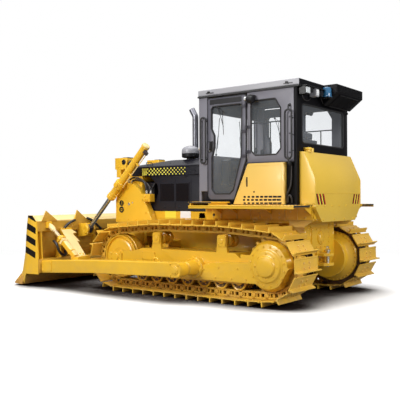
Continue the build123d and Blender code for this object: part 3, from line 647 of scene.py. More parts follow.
def build_track_frame(side_name, s):
    mid, y_out = s * MID, s * (MID + 175)
    skin("track_frame_" + side_name, ["yellow"], 5.0, 3, 25, None)
    d = Shape()
    # hub cover: stepped rings, a raised bearing cap with bolts
    d.wheel(0, mid, Z_SPROCKET, [(s * 226, 0), (s * 226, 236), (s * 236, 238), (s * 242, 230), (s * 243, 222), (s * 247, 214), (s * 262, 203), (s * 267, 196), (s * 269, 186),
                                 (s * 269, 150), (s * 273, 142), (s * 284, 137), (s * 296, 126), (s * 302, 104), (s * 307, 70), (s * 309, 30), (s * 309, 0)], 96)
    for k in range(16):
        ang = TAU * (k + 0.5) / 16
        d.bolt(at(254 * math.cos(ang), mid + s * 239, Z_SPROCKET + 254 * math.sin(ang)), (0, s, 0), 10, 8, 0)
    for k in range(8):
        ang = TAU * k / 8
        d.bolt(at(166 * math.cos(ang), mid + s * 269, Z_SPROCKET + 166 * math.sin(ang)), (0, s, 0), 11, 8, 0)
    # bolts on the lower lip of the rock guard
    for x, z in ((-150, 395), (-60, 340), (330, 335), (560, 335), (820, 335), (1060, 335)):
        d.bolt(at(x, mid + s * 232, z), (0, s, 0), 15, 11, 0)
    for x, z in ((460, 470), (760, 470), (1020, 430)):
        d.bolt(at(x, mid + s * 232, z), (0, s, 0), 13, 10, 0)
    # guard bolts along the beam, ahead of the rock guard
    for i in range(7):
        x = 1250 + 165 * i
        d.bolt(at(x, y_out, 330), (0, s, 0), 13, 10, 0)
    for x in (2330, 2420, 2640, 2760):
        d.bolt(at(x, y_out, 480 + (x - 2330) * 0.06), (0, s, 0), 14, 10, 0)
    # idler yoke: bearing block with its cap bolts, and a track tension cover
    d.side([(2630, 425), (2850, 450), (2880, 475), (2880, 560), (2850, 588), (2640, 596), (2615, 570), (2615, 445)], y_out, y_out + s * 22)
    for x, z in ((2655, 455), (2835, 480), (2655, 565), (2835, 560)):
        d.bolt(at(x, y_out + s * 22, z), (0, s, 0), 14, 10, 0)
    d.wheel(X_IDLER, mid, Z_IDLER, [(s * 190, 0), (s * 190, 62), (s * 208, 60), (s * 212, 54), (s * 212, 0)], 40)
    d.side([(1960, 500), (2200, 500), (2210, 510), (2210, 610), (2200, 620), (1960, 620), (1950, 610), (1950, 510)], y_out, y_out + s * 10)
    for x, z in ((1970, 518), (2190, 518), (1970, 602), (2190, 602)):
        d.bolt(at(x, y_out + s * 10, z), (0, s, 0), 9, 7, 0)
    for x in CARRIERS:
        # cap over the carrier roller's shaft, on its pedestal
        d.side([(x - 62, 745), (x + 62, 745), (x + 66, 760), (x + 66, 880), (x + 50, 898), (x - 50, 898), (x - 66, 880), (x - 66, 760)], y_out, y_out + s * 12)
        for dx in (-44, 44):
            for z in (772, 868):
                d.bolt(at(x + dx, y_out + s * 12, z), (0, s, 0), 9, 7, 0)
        d.wheel(x, y_out, Z_CARRIER, [(s * 8, 0), (s * 8, 34), (s * 18, 32), (s * 20, 26), (s * 20, 0)], 28)
        for dx in (-84, 84):
            d.bolt(at(x + dx * 0.93, mid + s * 152, 672), (0, 0, 1), 11, 8, 0)
    # bolts of the flange that holds the push arm's trunnion
    for k in range(10):
        ang = TAU * (k + 0.5) / 10
        d.bolt(at(X_TRUNNION + 127 * math.cos(ang), mid + s * 266, 445 + 127 * math.sin(ang)), (0, s, 0), 11, 9, 0)
    piece(d, "frame_fittings_" + side_name, "machine", ["yellow"], 1.6, 1, 28, ())


for side_name, s in SIDES:
    build_track(side_name, s)
    build_wheels(side_name, s)
    build_track_frame(side_name, s)


# ================================================================ frames and housings
def keep_band(outline, a, b, c, low, high):
    """The part of an outline in the side view where low <= a*x + b*z + c <= high."""
    for sign, limit in ((1, low), (-1, -high)):
        out = []
        for i, p in enumerate(outline):
            q = outline[(i + 1) % len(outline)]
            vp, vq = sign * (a * p[0] + b * p[1] + c) - limit, sign * (a * q[0] + b * q[1] + c) - limit
            if vp >= 0:
                out.append(p)
            if (vp >= 0) != (vq >= 0):
                f = vp / (vp - vq)
                out.append((p[0] + (q[0] - p[0]) * f, p[1] + (q[1] - p[1]) * f))
        outline = out
    return outline


def hose(name, body, routes, r, mat, stands_for=()):
    """Formed line: one smooth bevelled curve per route, its control points in mm."""
    cu = bpy.data.curves.new(name, "CURVE")
    cu.dimensions = "3D"
    for route in routes:
        sp = cu.splines.new("NURBS")
        sp.points.add(len(route) - 1)
        for p, q in zip(sp.points, route):
            p.co = (*at(*q), 1)
        sp.order_u = 3
        sp.use_endpoint_u = True
        sp.resolution_u = 6
    cu.bevel_depth = r / 1000
    cu.bevel_resolution = 3
    cu.use_fill_caps = True
    cu.materials.append(M[mat])
    ob = bpy.data.objects.new(name, cu)
    scene.collection.objects.link(ob)
    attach(ob, body)
    if stands_for:
        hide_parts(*stands_for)
    return ob


skin("main_frame", ["yellow"], 5, 3, 25, None)
skin("rear_housing", ["yellow"], 6, 3, 25, None)
skin("radiator_guard", ["yellow"], 8, 3, 25, None)
skin("engine_block", ["cast"], 12, 3, 25, None)
skin("radiator", ["panel_black"], 2.5, 2, 25, None)

d = Shape()
for s in (1, -1):
    # side member: doubler plate, its bolts, and the two blank plates on the band beside the engine
    for x in (520, 760, 1000, 1240, 1480, 1720, 1960):
        d.bolt(at(x, s * 500, 600), (0, s, 0), 13, 10, 0)
    d.side([(1430, 1090), (2690, 1090), (2690, 1100), (1430, 1100)], s * 500, s * 506)
    for x in (2360, 2450, 2560, 2650):
        for z in (850, 960):
            d.bolt(at(x, s * 500, z), (0, s, 0), 15, 11, 0)
    d.side([(1787, 1072), (1990, 1072), (1990, 1205), (1787, 1205)], s * 500, s * 504, 1)
    d.side([(2082, 1082), (2305, 1082), (2305, 1203), (2082, 1203)], s * 500, s * 503, 2)
    for x in (1796, 1981):
        for z in (1081, 1196):
            d.bolt(at(x, s * 504, z), (0, s, 0), 3.5, 2, 0, False)
    # engine mount bracket and pads on the side member
    d.side([(1500, 1060), (1640, 1060), (1620, 1180), (1520, 1180)], s * 500, s * 470)
    # equalizer bar end pads
    d.box(2010, 2170, s * 700, s * 786, 592, 604)
    for x in (2040, 2140):
        d.bolt(at(x, s * 745, 760), (0, 0, 1), 12, 9, 0)
for i in range(9):
    d.bolt(at(520 + 190 * i, 340, 560), (0, 0, -1), 12, 8, 0)
    d.bolt(at(520 + 190 * i, -340, 560), (0, 0, -1), 12, 8, 0)
# belly guard: two plates with a seam between them
for xa, xb in ((440, 1240), (1260, 2080)):
    d.box(xa, xb, -390, 390, 548, 562)
piece(d, "main_frame_fittings", "machine", ["yellow", "white_plate", "label_yellow"], 1.5, 2, 28, ())

d = Shape()
# rear face: bolted cover with a raised rim, power take-off cap, drawbar pin and lower hooks
d.front([(-250, 700), (250, 700), (262, 712), (262, 968), (250, 980), (-250, 980), (-262, 968), (-262, 712)], -130, -142)
for y in (-246, -123, 0, 123, 246):
    for z in (716, 964):
        d.bolt(at(-142, y, z), (-1, 0, 0), 10, 8, 0)
for y in (-248, 248):
    for z in (778, 840, 902):
        d.bolt(at(-142, y, z), (-1, 0, 0), 10, 8, 0)
for s in (1, -1):
    d.turn(at(-130, s * 352, 915), (-1, 0, 0), [(0, 66), (6, 72), (8, 82), (3, 88), (0, 89)], 48, 0, True)
d.turn(at(-142, 0, 840), (-1, 0, 0), [(0, 0), (0, 96), (14, 94), (18, 86), (18, 66), (26, 60), (30, 52), (30, 0)], 48)
for k in range(8):
    a = TAU * k / 8
    d.bolt(at(-160, 76 * math.cos(a), 840 + 76 * math.sin(a)), (-1, 0, 0), 8, 7, 0, False)
for s in (1, -1):
    # bosses round the tapped holes, left open in the middle
    for z in (640, 1000):
        d.turn(at(-130, s * 300, z), (-1, 0, 0), [(0, 15), (0, 34), (8, 32), (10, 28), (10, 15)], 28, 0, True)
    # side covers of the steering clutches
    d.turn(at(150, s * 450, 800), (0, s, 0), [(0, 0), (0, 150), (12, 148), (16, 140), (16, 70), (24, 64), (28, 56), (28, 0)], 56)
    for k in range(12):
        a = TAU * k / 12
        d.bolt(at(150 + 128 * math.cos(a), s * 465, 800 + 128 * math.sin(a)), (0, s, 0), 9, 7, 0)
    for x, z in ((-95, 600), (-95, 760), (-95, 920), (-95, 1030), (60, 1030), (280, 1030), (360, 480)):
        d.bolt(at(x, s * 450, z), (0, s, 0), 12, 9, 0)
    d.box(-165, -60, s * 118, s * 150, 430, 660)
piece(d, "rear_housing_fittings", "machine", ["yellow"], 1.8, 1, 28, ())
d = Shape()
d.turn(at(-250, 0, 440), (0, 0, 1), [(0, 0), (0, 20), (6, 24.5), (212, 24.5), (214, 38), (236, 38), (240, 30), (240, 0)], 28)
d.tube(rounded([at(-250, -26, 690), at(-250, -26, 720), at(-250, 26, 720), at(-250, 26, 690)], 20, 5), 6, 8)
piece(d, "drawbar_pin", "machine", ["zinc"], 1.0, 1, 28, ())

# ---------------------------------------------------------------- nose
d = Shape()
for s in (1, -1):
    y = s * 640
    # couplings low on the bracket, with their dust caps, and two round holes' collars behind them
    for x, z, r in ((3120, 1330, 36), (3120, 1225, 40)):
        d.turn(at(x, y, z), (0, s, 0), [(0, r - 13), (10, r - 12), (12, r - 6), (12, r + 4), (9, r + 9), (0, r + 10)], 32, 1, True)
        d.turn(at(x, y, z), (0, s, 0), [(0, 0), (0, 13), (9, 12), (10, 6), (10, 0)], 20, 1)
    for x, z, r in ((2956, 1315, 22), (2878, 1338, 14)):
        d.turn(at(x, y, z), (0, s, 0), [(0, 0), (0, r), (4, r - 1), (5, r - 5), (2, r - 7), (2, 0)], 26, 2)
    # bearing cap for the barrel trunnion, held by two studs
    d.side([(3015, 1560), (3165, 1560), (3165, 1690), (3140, 1702), (3040, 1702), (3015, 1690)], s * 522, s * 560)
    d.wheel(3090, y, 1630, [(s * 0, 32), (s * 0, 58), (s * 8, 56), (s * 10, 52), (s * 10, 32)], 36, 0, True)
    for dx in (-56, 56):
        d.bolt(at(3090 + dx, s * 600, 1690 if dx < 0 else 1678), (0, 0, 1), 10, 9, 0)
    # front edge bar, weld pads and the bolts that hold the bracket
    d.side([(3200, 1020), (3246, 1024), (3246, 1378), (3206, 1486), (3192, 1480), (3230, 1374), (3230, 1034), (3200, 1034)], y, y + s * 6)
    for x, z in ((2480, 1060), (2620, 1060), (2800, 1060), (2980, 1060), (3170, 1060), (2590, 1180)):
        d.bolt(at(x, y, z), (0, s, 0), 15, 11, 0)
    # manifold: stepped block with plugs and port nuts
    d.side([(2510, 1362), (2690, 1362), (2690, 1462), (2510, 1462)], y, y + s * 8)
    for x in (2550, 2600, 2650):
        d.bolt(at(x, y + s * 8, 1388), (0, s, 0), 13, 12, 0)
    d.bolt(at(2600, y + s * 8, 1438), (0, s, 0), 17, 14, 0)
    # nose plates beside the grille
    for z in (700, 860, 1020, 1180, 1340, 1500, 1660):
        d.bolt(at(3200, s * 475, z), (1, 0, 0), 12, 9, 0)
    d.side([(2790, 700), (3180, 700), (3180, 980), (2790, 980)], s * 520, s * 527)
    for x in (2815, 3155):
        for z in (725, 840, 955):
            d.bolt(at(x, s * 527, z), (0, s, 0), 12, 9, 0)
d.box(2775, 3196, -516, 516, 1758, 1764)
for y in (-450, -225, 0, 225, 450):
    d.bolt(at(3178, y, 1764), (0, 0, 1), 10, 7, 0)
d.box(3196, 3206, -430, 430, 1700, 1740)
piece(d, "nose_fittings", "machine", ["yellow", "black_trim", "zinc"], 1.6, 2, 28, ())

d = Shape()
# grille surround and upright divider over the bars
for ya, yb, za, zb in ((-430, -412, 722, 1678), (412, 430, 722, 1678), (-412, 412, 722, 740), (-412, 412, 1664, 1678), (-10, 10, 740, 1664)):
    d.box(3138, 3162, ya, yb, za, zb)
for k in range(27):
    y = -400 + 30.8 * k
    d.box(3101, 3106, y - 2, y + 2, 726, 1674)
piece(d, "radiator_grille", "machine", ["panel_black"], 1.2, 2, 28, ())

# ---------------------------------------------------------------- engine bay: hoses, filters and covers beside the block
d = Shape()
for s in (1, -1):
    for k in range(6):
        x = 1560 + 165 * k
        d.box(x - 62, x + 62, s * 300, s * 322, 1560, 1700)
        d.bolt(at(x, s * 322, 1630), (0, s, 0), 12, 10, 0)
    d.box(1500, 2540, s * 298, s * 330, 1180, 1210)
    for k in range(12):
        d.bolt(at(1520 + 90 * k, s * 330, 1195), (0, s, 0), 9, 8, 0)
    for x in (1640, 1790):
        d.turn(at(x, s * 372, 1240), (0, 0, 1), [(0, 0), (0, 34), (8, 42), (150, 44), (160, 46), (176, 46), (180, 30), (180, 0)], 28, 1)
    d.turn(at(2250, s * 380, 1330), (1, 0, 0), [(0, 0), (0, 58), (20, 66), (210, 66), (228, 58), (228, 20), (240, 16), (240, 0)], 32, 1)
    d.turn(at(2230, s * 360, 1020), (1, 0, 0), [(0, 0), (0, 44), (14, 50), (150, 50), (160, 40), (160, 0)], 28, 0)
for k in range(3):
    d.turn(at(2562, 0, 1000 + 250 * k), (1, 0, 0), [(0, 0), (0, 120 - 20 * k), (14, 122 - 20 * k), (20, 108 - 20 * k), (28, 122 - 20 * k), (34, 120 - 20 * k), (34, 0)], 40)
piece(d, "engine_fittings", "machine", ["cast", "yellow"], 1.6, 2, 28, ())
hose("engine_hoses", "machine",
     [[(2480, s * 400, 1330), (2540, s * 450, 1330), (2600, s * 470, 1380), (2620, s * 470, 1500), (2600, s * 440, 1620), (2560, s * 380, 1700)] for s in (1, -1)] +
     [[(2380, s * 420, 1030), (2470, s * 430, 1080), (2590, s * 455, 1120), (2640, s * 460, 1240), (2640, s * 440, 1400), (2660, s * 400, 1560)] for s in (1, -1)] +
     [[(1640, s * 372, 1420), (1640, s * 380, 1480), (1760, s * 400, 1520), (1960, s * 400, 1500), (2140, s * 390, 1460), (2260, s * 380, 1400)] for s in (1, -1)],
     15, "hose")

# lines from the manifold up to the lift cylinder trunnions
hose("lift_line_hoses", "machine",
     [[(2995, s * 606, 1670), (2957, s * 606, 1736.5), (2800, s * 606, 1745), (2600, s * 606, 1655), (2600, s * 606, 1475)] for s in (1, -1)] +
     [[(2972, s * 562, 1656.857), (2942, s * 562, 1709.357), (2790, s * 562, 1700), (2550, s * 562, 1615), (2550, s * 562, 1475)] for s in (1, -1)],
     15, "hose", ("lift_lines",))
d = Shape()
for s in (1, -1):
    for y, top, low in ((606, (2995, 1670), 2600), (562, (2972, 1656.857), 2550)):
        axis = Vector((-0.497, 0, 0.868))
        d.turn(at(top[0], s * y, top[1]), axis, [(-1, 0), (-1, 22), (16, 22), (17, 19), (46, 18), (47, 16), (47, 0)], 6)
        d.turn(at(top[0], s * y, top[1]), axis, [(17, 0), (17, 19.5), (50, 18.5), (50, 0)], 20)
        d.turn(at(low, s * y, 1475), (0, 0, 1), [(-1, 0), (-1, 22), (18, 22), (19, 19), (54, 18), (55, 0)], 6)
        d.turn(at(low, s * y, 1475), (0, 0, 1), [(19, 0), (19, 19.5), (56, 18.5), (56, 0)], 20)
piece(d, "lift_line_nuts", "machine", ["zinc"], 0.8, 1, 28, ())


# ================================================================ blade, arms and braces
# rear-facing faces of the blade take the darker brown yellow: painted shade
# up-facing faces of the blade's top beam take the pale yellow: painted highlight
skin("blade", ["yellow", "yellow_pale_and_painted_highlight", "yellow_painted_shade"], 6, 2, 25,
     lambda c, n: 1 if c[2] > 1040 and n.z > 0.4 and n.x < 0.2 else (2 if n.x < -0.3 and abs(c[1]) < 1560 else 0))
skin("cutting_edge", ["edge_steel"], 3, 2, 25, None)
for side_name, s in SIDES:
    skin("push_arm_" + side_name, ["yellow"], 9, 3, 30, None)
    # up-facing faces of the tilt brace take the pale yellow: painted highlight
    skin("tilt_brace_" + side_name, ["yellow", "yellow_pale_and_painted_highlight"], 5, 2, 30, lambda c, n: 1 if n.z > 0.5 else 0)

d = Shape()
stripes = Shape()
for s in (1, -1):
    # hazard bands on the upper part of each end plate, falling to the rear
    face = [(4074, 1136), (4187, 1136), (4212, 1000), (4237, 800), (4259, 540), (4010, 440), (4005, 560), (3996, 1000), (3992, 1048)]
    for k in range(4):
        top = 1219 - 0.36 * 4217 - 196 * k
        band = keep_band(face, -0.36, 1, 0, top - 104, top)
        if len(band) > 2:
            stripes.side(band, s * 1690, s * 1690.7)
    # end plate: wear strip on the front edge, gusset and bolts at the corner bit
    for x, z in ((4345, 160), (4395, 135), (4445, 102)):
        d.bolt(at(x, s * 1690, z), (0, s, 0), 9, 5, 0)
    d.side([(4000, 470), (4030, 470), (4090, 1000), (4060, 1010)], s * 1670, s * 1650)
piece(stripes, "blade_hazard_bands", "blade_frame", ["stripe_black"], 0, 1, 28, ())

for y in [-1560 + 240 * k for k in range(14)]:
    # plow bolts: flush heads on the edge's face
    n = Vector((0.617, 0, 0.787))
    for x, z in ((4400, 176), (4466, 124)):
        d.turn(at(x, y, z), n, [(-6, 0), (-6, 15), (1.0, 15), (1.6, 12), (1.6, 0)], 20)
for s in (1, -1):
    # rod clevis ears: bosses, each with two bolts
    for ya, o in ((720 + 78, 1), (720 - 78, -1)):
        d.turn(at(3820, s * ya, 885), (0, s * o, 0), [(0, 0), (0, 74), (10, 72), (14, 66), (14, 40), (10, 36), (10, 0)], 40)
        d.bolt(at(3820, s * (ya + o * 10), 885 + 24), (0, s * o, 0), 9, 7, 0)
        d.bolt(at(3820, s * (ya + o * 10), 885 - 24), (0, s * o, 0), 9, 7, 0)
    # diagonal stiffener behind the moldboard, inside the box rows
    for y in (1000, 220):
        d.side([(4000, 470), (4096, 470), (4108, 860), (4030, 860)], s * (y - 8), s * (y + 8))
    # arm end: double plate on the blade, bearing cap at the trunnion, lifting eye on top
    d.side([(3700, 262), (3930, 250), (3930, 410), (3700, 424)], s * 1620, s * 1628)
    for x, z in ((3725, 285), (3905, 275), (3725, 400), (3905, 388)):
        d.bolt(at(x, s * 1628, z), (0, s, 0), 13, 10, 0)
    d.side([(1099, 352), (1167, 347), (1275, 344), (1275, 544), (1167, 543), (1099, 540), (1083, 500), (1083, 392)], s * 1620, s * 1630)
    for x, z in ((1109, 372), (1255, 366), (1109, 520), (1255, 524)):
        d.bolt(at(x, s * 1630, z), (0, s, 0), 15, 12, 0)
    d.turn(at(X_TRUNNION, s * 1628, 445), (0, s, 0), [(0, 0), (0, 66), (10, 64), (14, 58), (14, 46), (20, 44), (22, 38), (22, 0)], 44)
    for k in range(6):
        a = TAU * k / 6
        d.bolt(at(X_TRUNNION + 52 * math.cos(a), s * 1642, 445 + 52 * math.sin(a)), (0, s, 0), 6, 6, 0, False)
    d.tube(rounded([at(1560, s * 1530, 535), at(1560, s * 1530, 580), at(1640, s * 1530, 580), at(1640, s * 1530, 532)], 24, 5), 9, 10)
piece(d, "blade_fittings", "blade_frame", ["yellow"], 1.8, 1, 28, ())

d = Shape()
for s in (1, -1):
    foot, head = at(3385, s * 1402, 497), at(3957, s * 1458, 1000)
    axis = (head - foot).normalized()
    # screw: thread turns, lock nut with lugs, ball socket and cap at the top, pivot knuckle at the foot
    start = foot + axis * 0.430
    for k in range(14):
        p = start + axis * (0.030 + 0.0125 * k)
        d.turn(p, axis, [(0, 30.6), (3, 34), (6, 34), (9, 30.6)], 20, 1, True)
    d.turn(start, axis, [(-44, 0), (-44, 58), (-36, 62), (-8, 62), (0, 58), (14, 50), (18, 42), (18, 0)], 28)
    for k in range(4):
        out = Matrix.Rotation(TAU * k / 4, 3, axis) @ axis.orthogonal().normalized()
        d.rod(start - axis * 0.022 + out * 0.05, start - axis * 0.022 + out * 0.078, 11, 10)
    d.turn(foot + axis * 0.60, axis, [(0, 0), (0, 31), (10, 40), (60, 44), (110, 42), (122, 34), (122, 0)], 28, 2)
    d.turn(foot + axis * 0.10, axis, [(0, 43), (0, 66), (22, 66), (22, 43)], 4, 0, True)
    d.turn(foot + axis * 0.33, axis, [(0, 43), (0, 72), (34, 72), (34, 43)], 4, 2, True)
    # flat brace: edge beads along its face, bolts at its foot
    foot2, head2 = at(3380, s * 1300, 480), at(3955, s * 1130, 890)
    axis2 = (head2 - foot2).normalized()
    face2 = axis2.cross(Vector((0, 1, 0)))
    face2 = face2 if face2.z > 0 else -face2
    out2 = face2.cross(axis2) * (1 if face2.cross(axis2).y * s > 0 else -1)
    for w, lo, hi in ((80, 0.04, 0.96), (-80, 0.04, 0.54)):
        run2 = (head2 - foot2).length
        d.rod(foot2 + axis2 * run2 * lo + face2 * 0.024 + out2 * (w / 1000), foot2 + axis2 * run2 * hi + face2 * 0.024 + out2 * (w / 1000), 5, 8, 2)
    for w in (-60, 0, 60):
        d.bolt(foot2 + axis2 * 0.06 + face2 * 0.024 + out2 * (w / 1000), face2, 12, 9, 0)
    d.box(3296, 3444, s * 1192, s * 1348, 494, 503)
    for dx, dy in ((-50, 1215), (50, 1215), (-50, 1325)):
        d.bolt(at(3370 + dx, s * dy, 503), (0, 0, 1), 12, 9, 0)
piece(d, "brace_fittings", "blade_frame", ["yellow", "zinc", "yellow_pale_and_painted_highlight"], 1.2, 2, 28, ())
hose("blade_hoses", "blade_frame",
     [[(3992, s * 1334, 715), (3930, s * 1336, 690), (3895, s * 1333, 620), (3888, s * 1303, 537), (3892, s * 1228, 480), (3905, s * 1140, 478), (3990, s * 1090, 540)] for s in (1, -1)] +
     [[(3990, s * 1175, 880), (3940, s * 1160, 905), (3942, s * 1110, 960), (3946, s * 1040, 1002), (3955, s * 960, 1030), (3984, s * 890, 1045)] for s in (1, -1)] +
     [[(3984, s * 620, 1075), (3945, s * 560, 1050), (3930, s * 500, 1004), (3928, s * 400, 930), (3935, s * 320, 870), (3990, s * 280, 830)] for s in (1, -1)],
     22, "hose")


# ================================================================ lift cylinders
P_X, P_Z, E_X, E_Z, Y_LIFT = 3090.0, 1630.0, 3820.0, 885.0, 720.0
RUN = math.dist((P_X, P_Z), (E_X, E_Z))
DX, DZ = (E_X - P_X) / RUN, (E_Z - P_Z) / RUN
for side_name, s in SIDES:
    axis = Vector((DX, 0, DZ))
    across = Vector((-DZ, 0, DX))            # up and forward, square to the barrel

    def on(t, off=0.0, y=0.0):
        """Point t along the barrel from its trunnion, off in front of its axis and y outboard of it."""
        return at(P_X, s * (Y_LIFT + y), P_Z) + axis * (t / 1000) + across * (off / 1000)
    b = Shape()
    b.turn(on(0), axis, [(-854, 0), (-854, 50), (-850, 56), (-834, 60), (-830, 64), (-798, 64), (-794, 59), (188, 59), (192, 62), (208, 64), (234, 64), (238, 70),
                         (264, 70), (266, 67), (274, 67), (276, 70), (300, 70), (304, 66), (306, 58), (306, 36), (300, 36), (300, 35.4), (238, 35.4),
                         (236, 46), (-822, 46), (-822, 0)], 48)
    b.turn(on(0), axis, [(-856, 0), (-856, 54), (-852, 60), (-846, 65), (-800, 66), (-797, 60), (-797, 50)], 8, 2, True)
    for k in range(8):
        a = TAU * (k + 0.5) / 8
        b.bolt(on(304) + (across * math.cos(a) + Vector((0, 1, 0)) * math.sin(a)) * 0.0555, axis, 7, 6, 0, False)
    # trunnion yoke: split collar with side bosses
    b.turn(on(0), axis, [(-62, 59), (-62, 76), (-56, 82), (56, 82), (62, 76), (62, 59)], 48, 0, True)
    b.turn(on(0, 0, 0), (0, s, 0), [(-155, 0), (-155, 32), (-90, 32), (-84, 44), (-50, 48), (-50, 0)], 36)
    b.turn(on(0, 0, 60), (0, s, 0), [(0, 0), (0, 42), (28, 40), (34, 34), (34, 0)], 36)
    for t in (-44, 44):
        for off in (-66, 66):
            b.bolt(on(t, off, 20), (0, s, 0), 9, 24, 0)
    # pipe along the barrel with its clamps and end blocks
    path = [on(-770, -60, 20), on(-764, -112, 26), on(-716, -116, 26), on(-150, -100, 24), on(-80, -94, 16), on(-20, -92, 0)]
    b.tube(rounded(path, 26, 4), 8, 10, 2)
    b.prism([on(-806, -52, 4), on(-742, -52, 4), on(-742, -126, 4), on(-790, -126, 4)], Vector((0, s * 0.044, 0)), 1)
    b.bolt(on(-770, -88, 48), (0, s, 0), 13, 10, 1)
    for t, low in ((-520, -120), (-300, -114)):
        b.prism([on(t - 12, -56, 10), on(t + 12, -56, 10), on(t + 12, low, 10), on(t - 12, low, 10)], Vector((0, s * 0.028, 0)))
        b.turn(on(t), axis, [(-14, 58), (-14, 62.5), (14, 62.5), (14, 58)], 40, 0, True)
    for t in (244, 188):
        b.turn(on(t, -60, 0), -across, [(0, 0), (0, 22), (10, 22), (12, 16), (26, 16), (26, 0)], 16)
    b.rod(on(244, -84, 0), on(60, -84, 0), 8, 10)
    piece(b, "lift_cylinder_" + side_name, "barrel_" + side_name, ["yellow", "dark_steel", "yellow_pale_and_painted_highlight"], 1.4, 2, 28, ("lift_barrel_" + side_name,))

    r = Shape()
    r.turn(on(0), axis, [(-200, 0), (-200, 44), (-196, 45.5), (-180, 45.5), (-178, 42), (-170, 42), (-168, 45.5), (-144, 45.5), (-140, 44), (-138, 35), (970, 35), (972, 30), (972, 0)], 48)
    piece(r, "lift_piston_" + side_name, "rod_" + side_name, ["chrome"], 0.8, 1, 28, ("lift_rod_" + side_name,))
    e = Shape()
    e.turn(on(0), axis, [(958, 34), (958, 44), (964, 50), (990, 56), (1012, 58), (1012, 34)], 40, 0, True)
    e.turn(at(E_X, s * Y_LIFT, E_Z), (0, s, 0), [(-34, 44), (-34, 58), (-30, 62), (30, 62), (34, 58), (34, 44), (30, 42), (-30, 42)], 48, 0, True)
    e.turn(at(E_X, s * Y_LIFT, E_Z), (0, s, 0), [(-46, 0), (-46, 30), (-36, 42), (36, 42), (46, 30), (46, 0)], 36)
    e.bolt(at(E_X, s * Y_LIFT, E_Z) + across * 0.061, across, 8, 12, 0, False)
    piece(e, "lift_eye_" + side_name, "rod_" + side_name, ["dark_steel"], 1.4, 2, 28, ())


# ================================================================ hood and its side panels
skin("hood", ["black_paint"], 14, 4, 20, None)
skin("engine_side_panels", ["panel_black"], 3, 2, 25, None)
d = Shape()
# raised centre rib and two seams along the top, over the slope too
for ya, yb in ((-150, 150),):
    d.side([(1440, 2010), (2296, 2010), (3000, 1936), (3000, 1941), (2298, 2019), (1440, 2019)], ya, yb)
for s in (1, -1):
    d.side([(1440, 2010), (2296, 2010), (3000, 1936), (3000, 1938), (2298, 2014.5), (1440, 2014.5)], s * 300, s * 312)
    # rail along the upper edge of the side, and the lower rain lip
    d.side([(1425, 1896), (3010, 1896), (3010, 1910), (1425, 1910)], s * 503, s * 511)
    d.side([(1425, 1764), (3010, 1764), (3010, 1776), (1425, 1776)], s * 503, s * 510)
    for x in (1500, 1700, 2800, 2960):
        d.bolt(at(x, s * 505, 1836), (0, s, 0), 9, 6, 0)
    for x in (1480, 2000, 2260, 2700):
        d.tube(rounded([at(x - 60, s * 420, 1961), at(x - 60, s * 440, 1985), at(x + 60, s * 440, 1985), at(x + 60, s * 420, 1961)], 14, 4), 6, 8) if x == 2700 else d.bolt(at(x, s * 420, 1963), (0, s * 0.51, 0.86), 9, 6, 0)
piece(d, "hood_ribs", "machine", ["black_paint"], 2.0, 2, 28, ())
# plain fading checker strip, a row of squares that shrink toward the cab
strip = Shape()
for s in (1, -1):
    for col in range(26):
        for row in range(4):
            if (col + row) % 2 == 0 or col < 3:
                size = 31 * (1 - 0.016 * col)
                x, z = 2772 - 35.0 * col, 1786 + 30 * row
                strip.side([(x - size / 2, z - size * 0.46), (x + size / 2, z - size * 0.46), (x + size / 2, z + size * 0.46), (x - size / 2, z + size * 0.46)], s * 505, s * 505.8)
piece(strip, "hood_checker", "machine", ["strip_yellow"], 0, 1, 28, ())

d = Shape()
for s in (1, -1):
    y = s * 494
    # frame of each panel, two louvred recesses in it, hinges above and latches below
    for xa, xb in ((2120, 2405), (1825, 2080)):
        d.side([(xa - 16, 1340), (xb + 16, 1340), (xb + 16, 1356), (xa - 16, 1356)], y, y + s * 7)
        d.side([(xa - 16, 1634), (xb + 16, 1634), (xb + 16, 1650), (xa - 16, 1650)], y, y + s * 7)
        d.side([(xa - 16, 1356), (xa, 1356), (xa, 1634), (xa - 16, 1634)], y, y + s * 7)
        d.side([(xb, 1356), (xb + 16, 1356), (xb + 16, 1634), (xb, 1634)], y, y + s * 7)
        # recess back and its louvres in the darker black: painted shade
        d.side([(xa, 1356), (xb, 1356), (xb, 1634), (xa, 1634)], y, y + s * 1, 1)
        n = int((xb - xa - 16) / 21)
        for k in range(n):
            x = xa + 16 + 21 * k
            d.prism([at(x, y + s * 0.5, 1372), at(x + 14, y + s * 0.5, 1372), at(x + 3, y + s * 5.5, 1372)], Vector((0, 0, 0.246)), 1)
    for x in (1600, 1900, 2200, 2480):
        d.rod(at(x - 34, y + s * 5, 1744), at(x + 34, y + s * 5, 1744), 7, 12)
        d.side([(x - 30, 1718), (x + 30, 1718), (x + 30, 1742), (x - 30, 1742)], y, y + s * 4)
    for x in (1560, 1760, 2020, 2320):
        d.turn(at(x, y, 1262), (0, s, 0), [(0, 0), (0, 22), (5, 21), (6, 17), (3, 15), (3, 0)], 24)
        d.side([(x - 4, 1248), (x + 4, 1248), (x + 4, 1276), (x - 4, 1276)], y + s * 2, y + s * 9)
    d.side([(1460, 1250), (1478, 1250), (1478, 1700), (1460, 1700)], y, y + s * 6)
    d.side([(1782, 1230), (1790, 1230), (1790, 1706), (1782, 1706)], y, y + s * 4)
    d.side([(2096, 1230), (2104, 1230), (2104, 1706), (2096, 1706)], y, y + s * 4)
    # bright latch and its striker beside the cab post
    d.turn(at(1560, y, 1488), (0, s, 0), [(0, 0), (0, 17), (16, 16), (24, 11), (26, 0)], 22, 2)
    d.box(1500, 1552, y, y + s * 16, 1478, 1490, 2)
    d.box(1460, 1640, y, y + s * 6, 1340, 1352)
    d.box(1460, 1640, y, y + s * 6, 1404, 1416)
piece(d, "engine_panel_trim", "machine", ["panel_black", "panel_recess_painted_shade", "zinc"], 1.2, 2, 28, ())

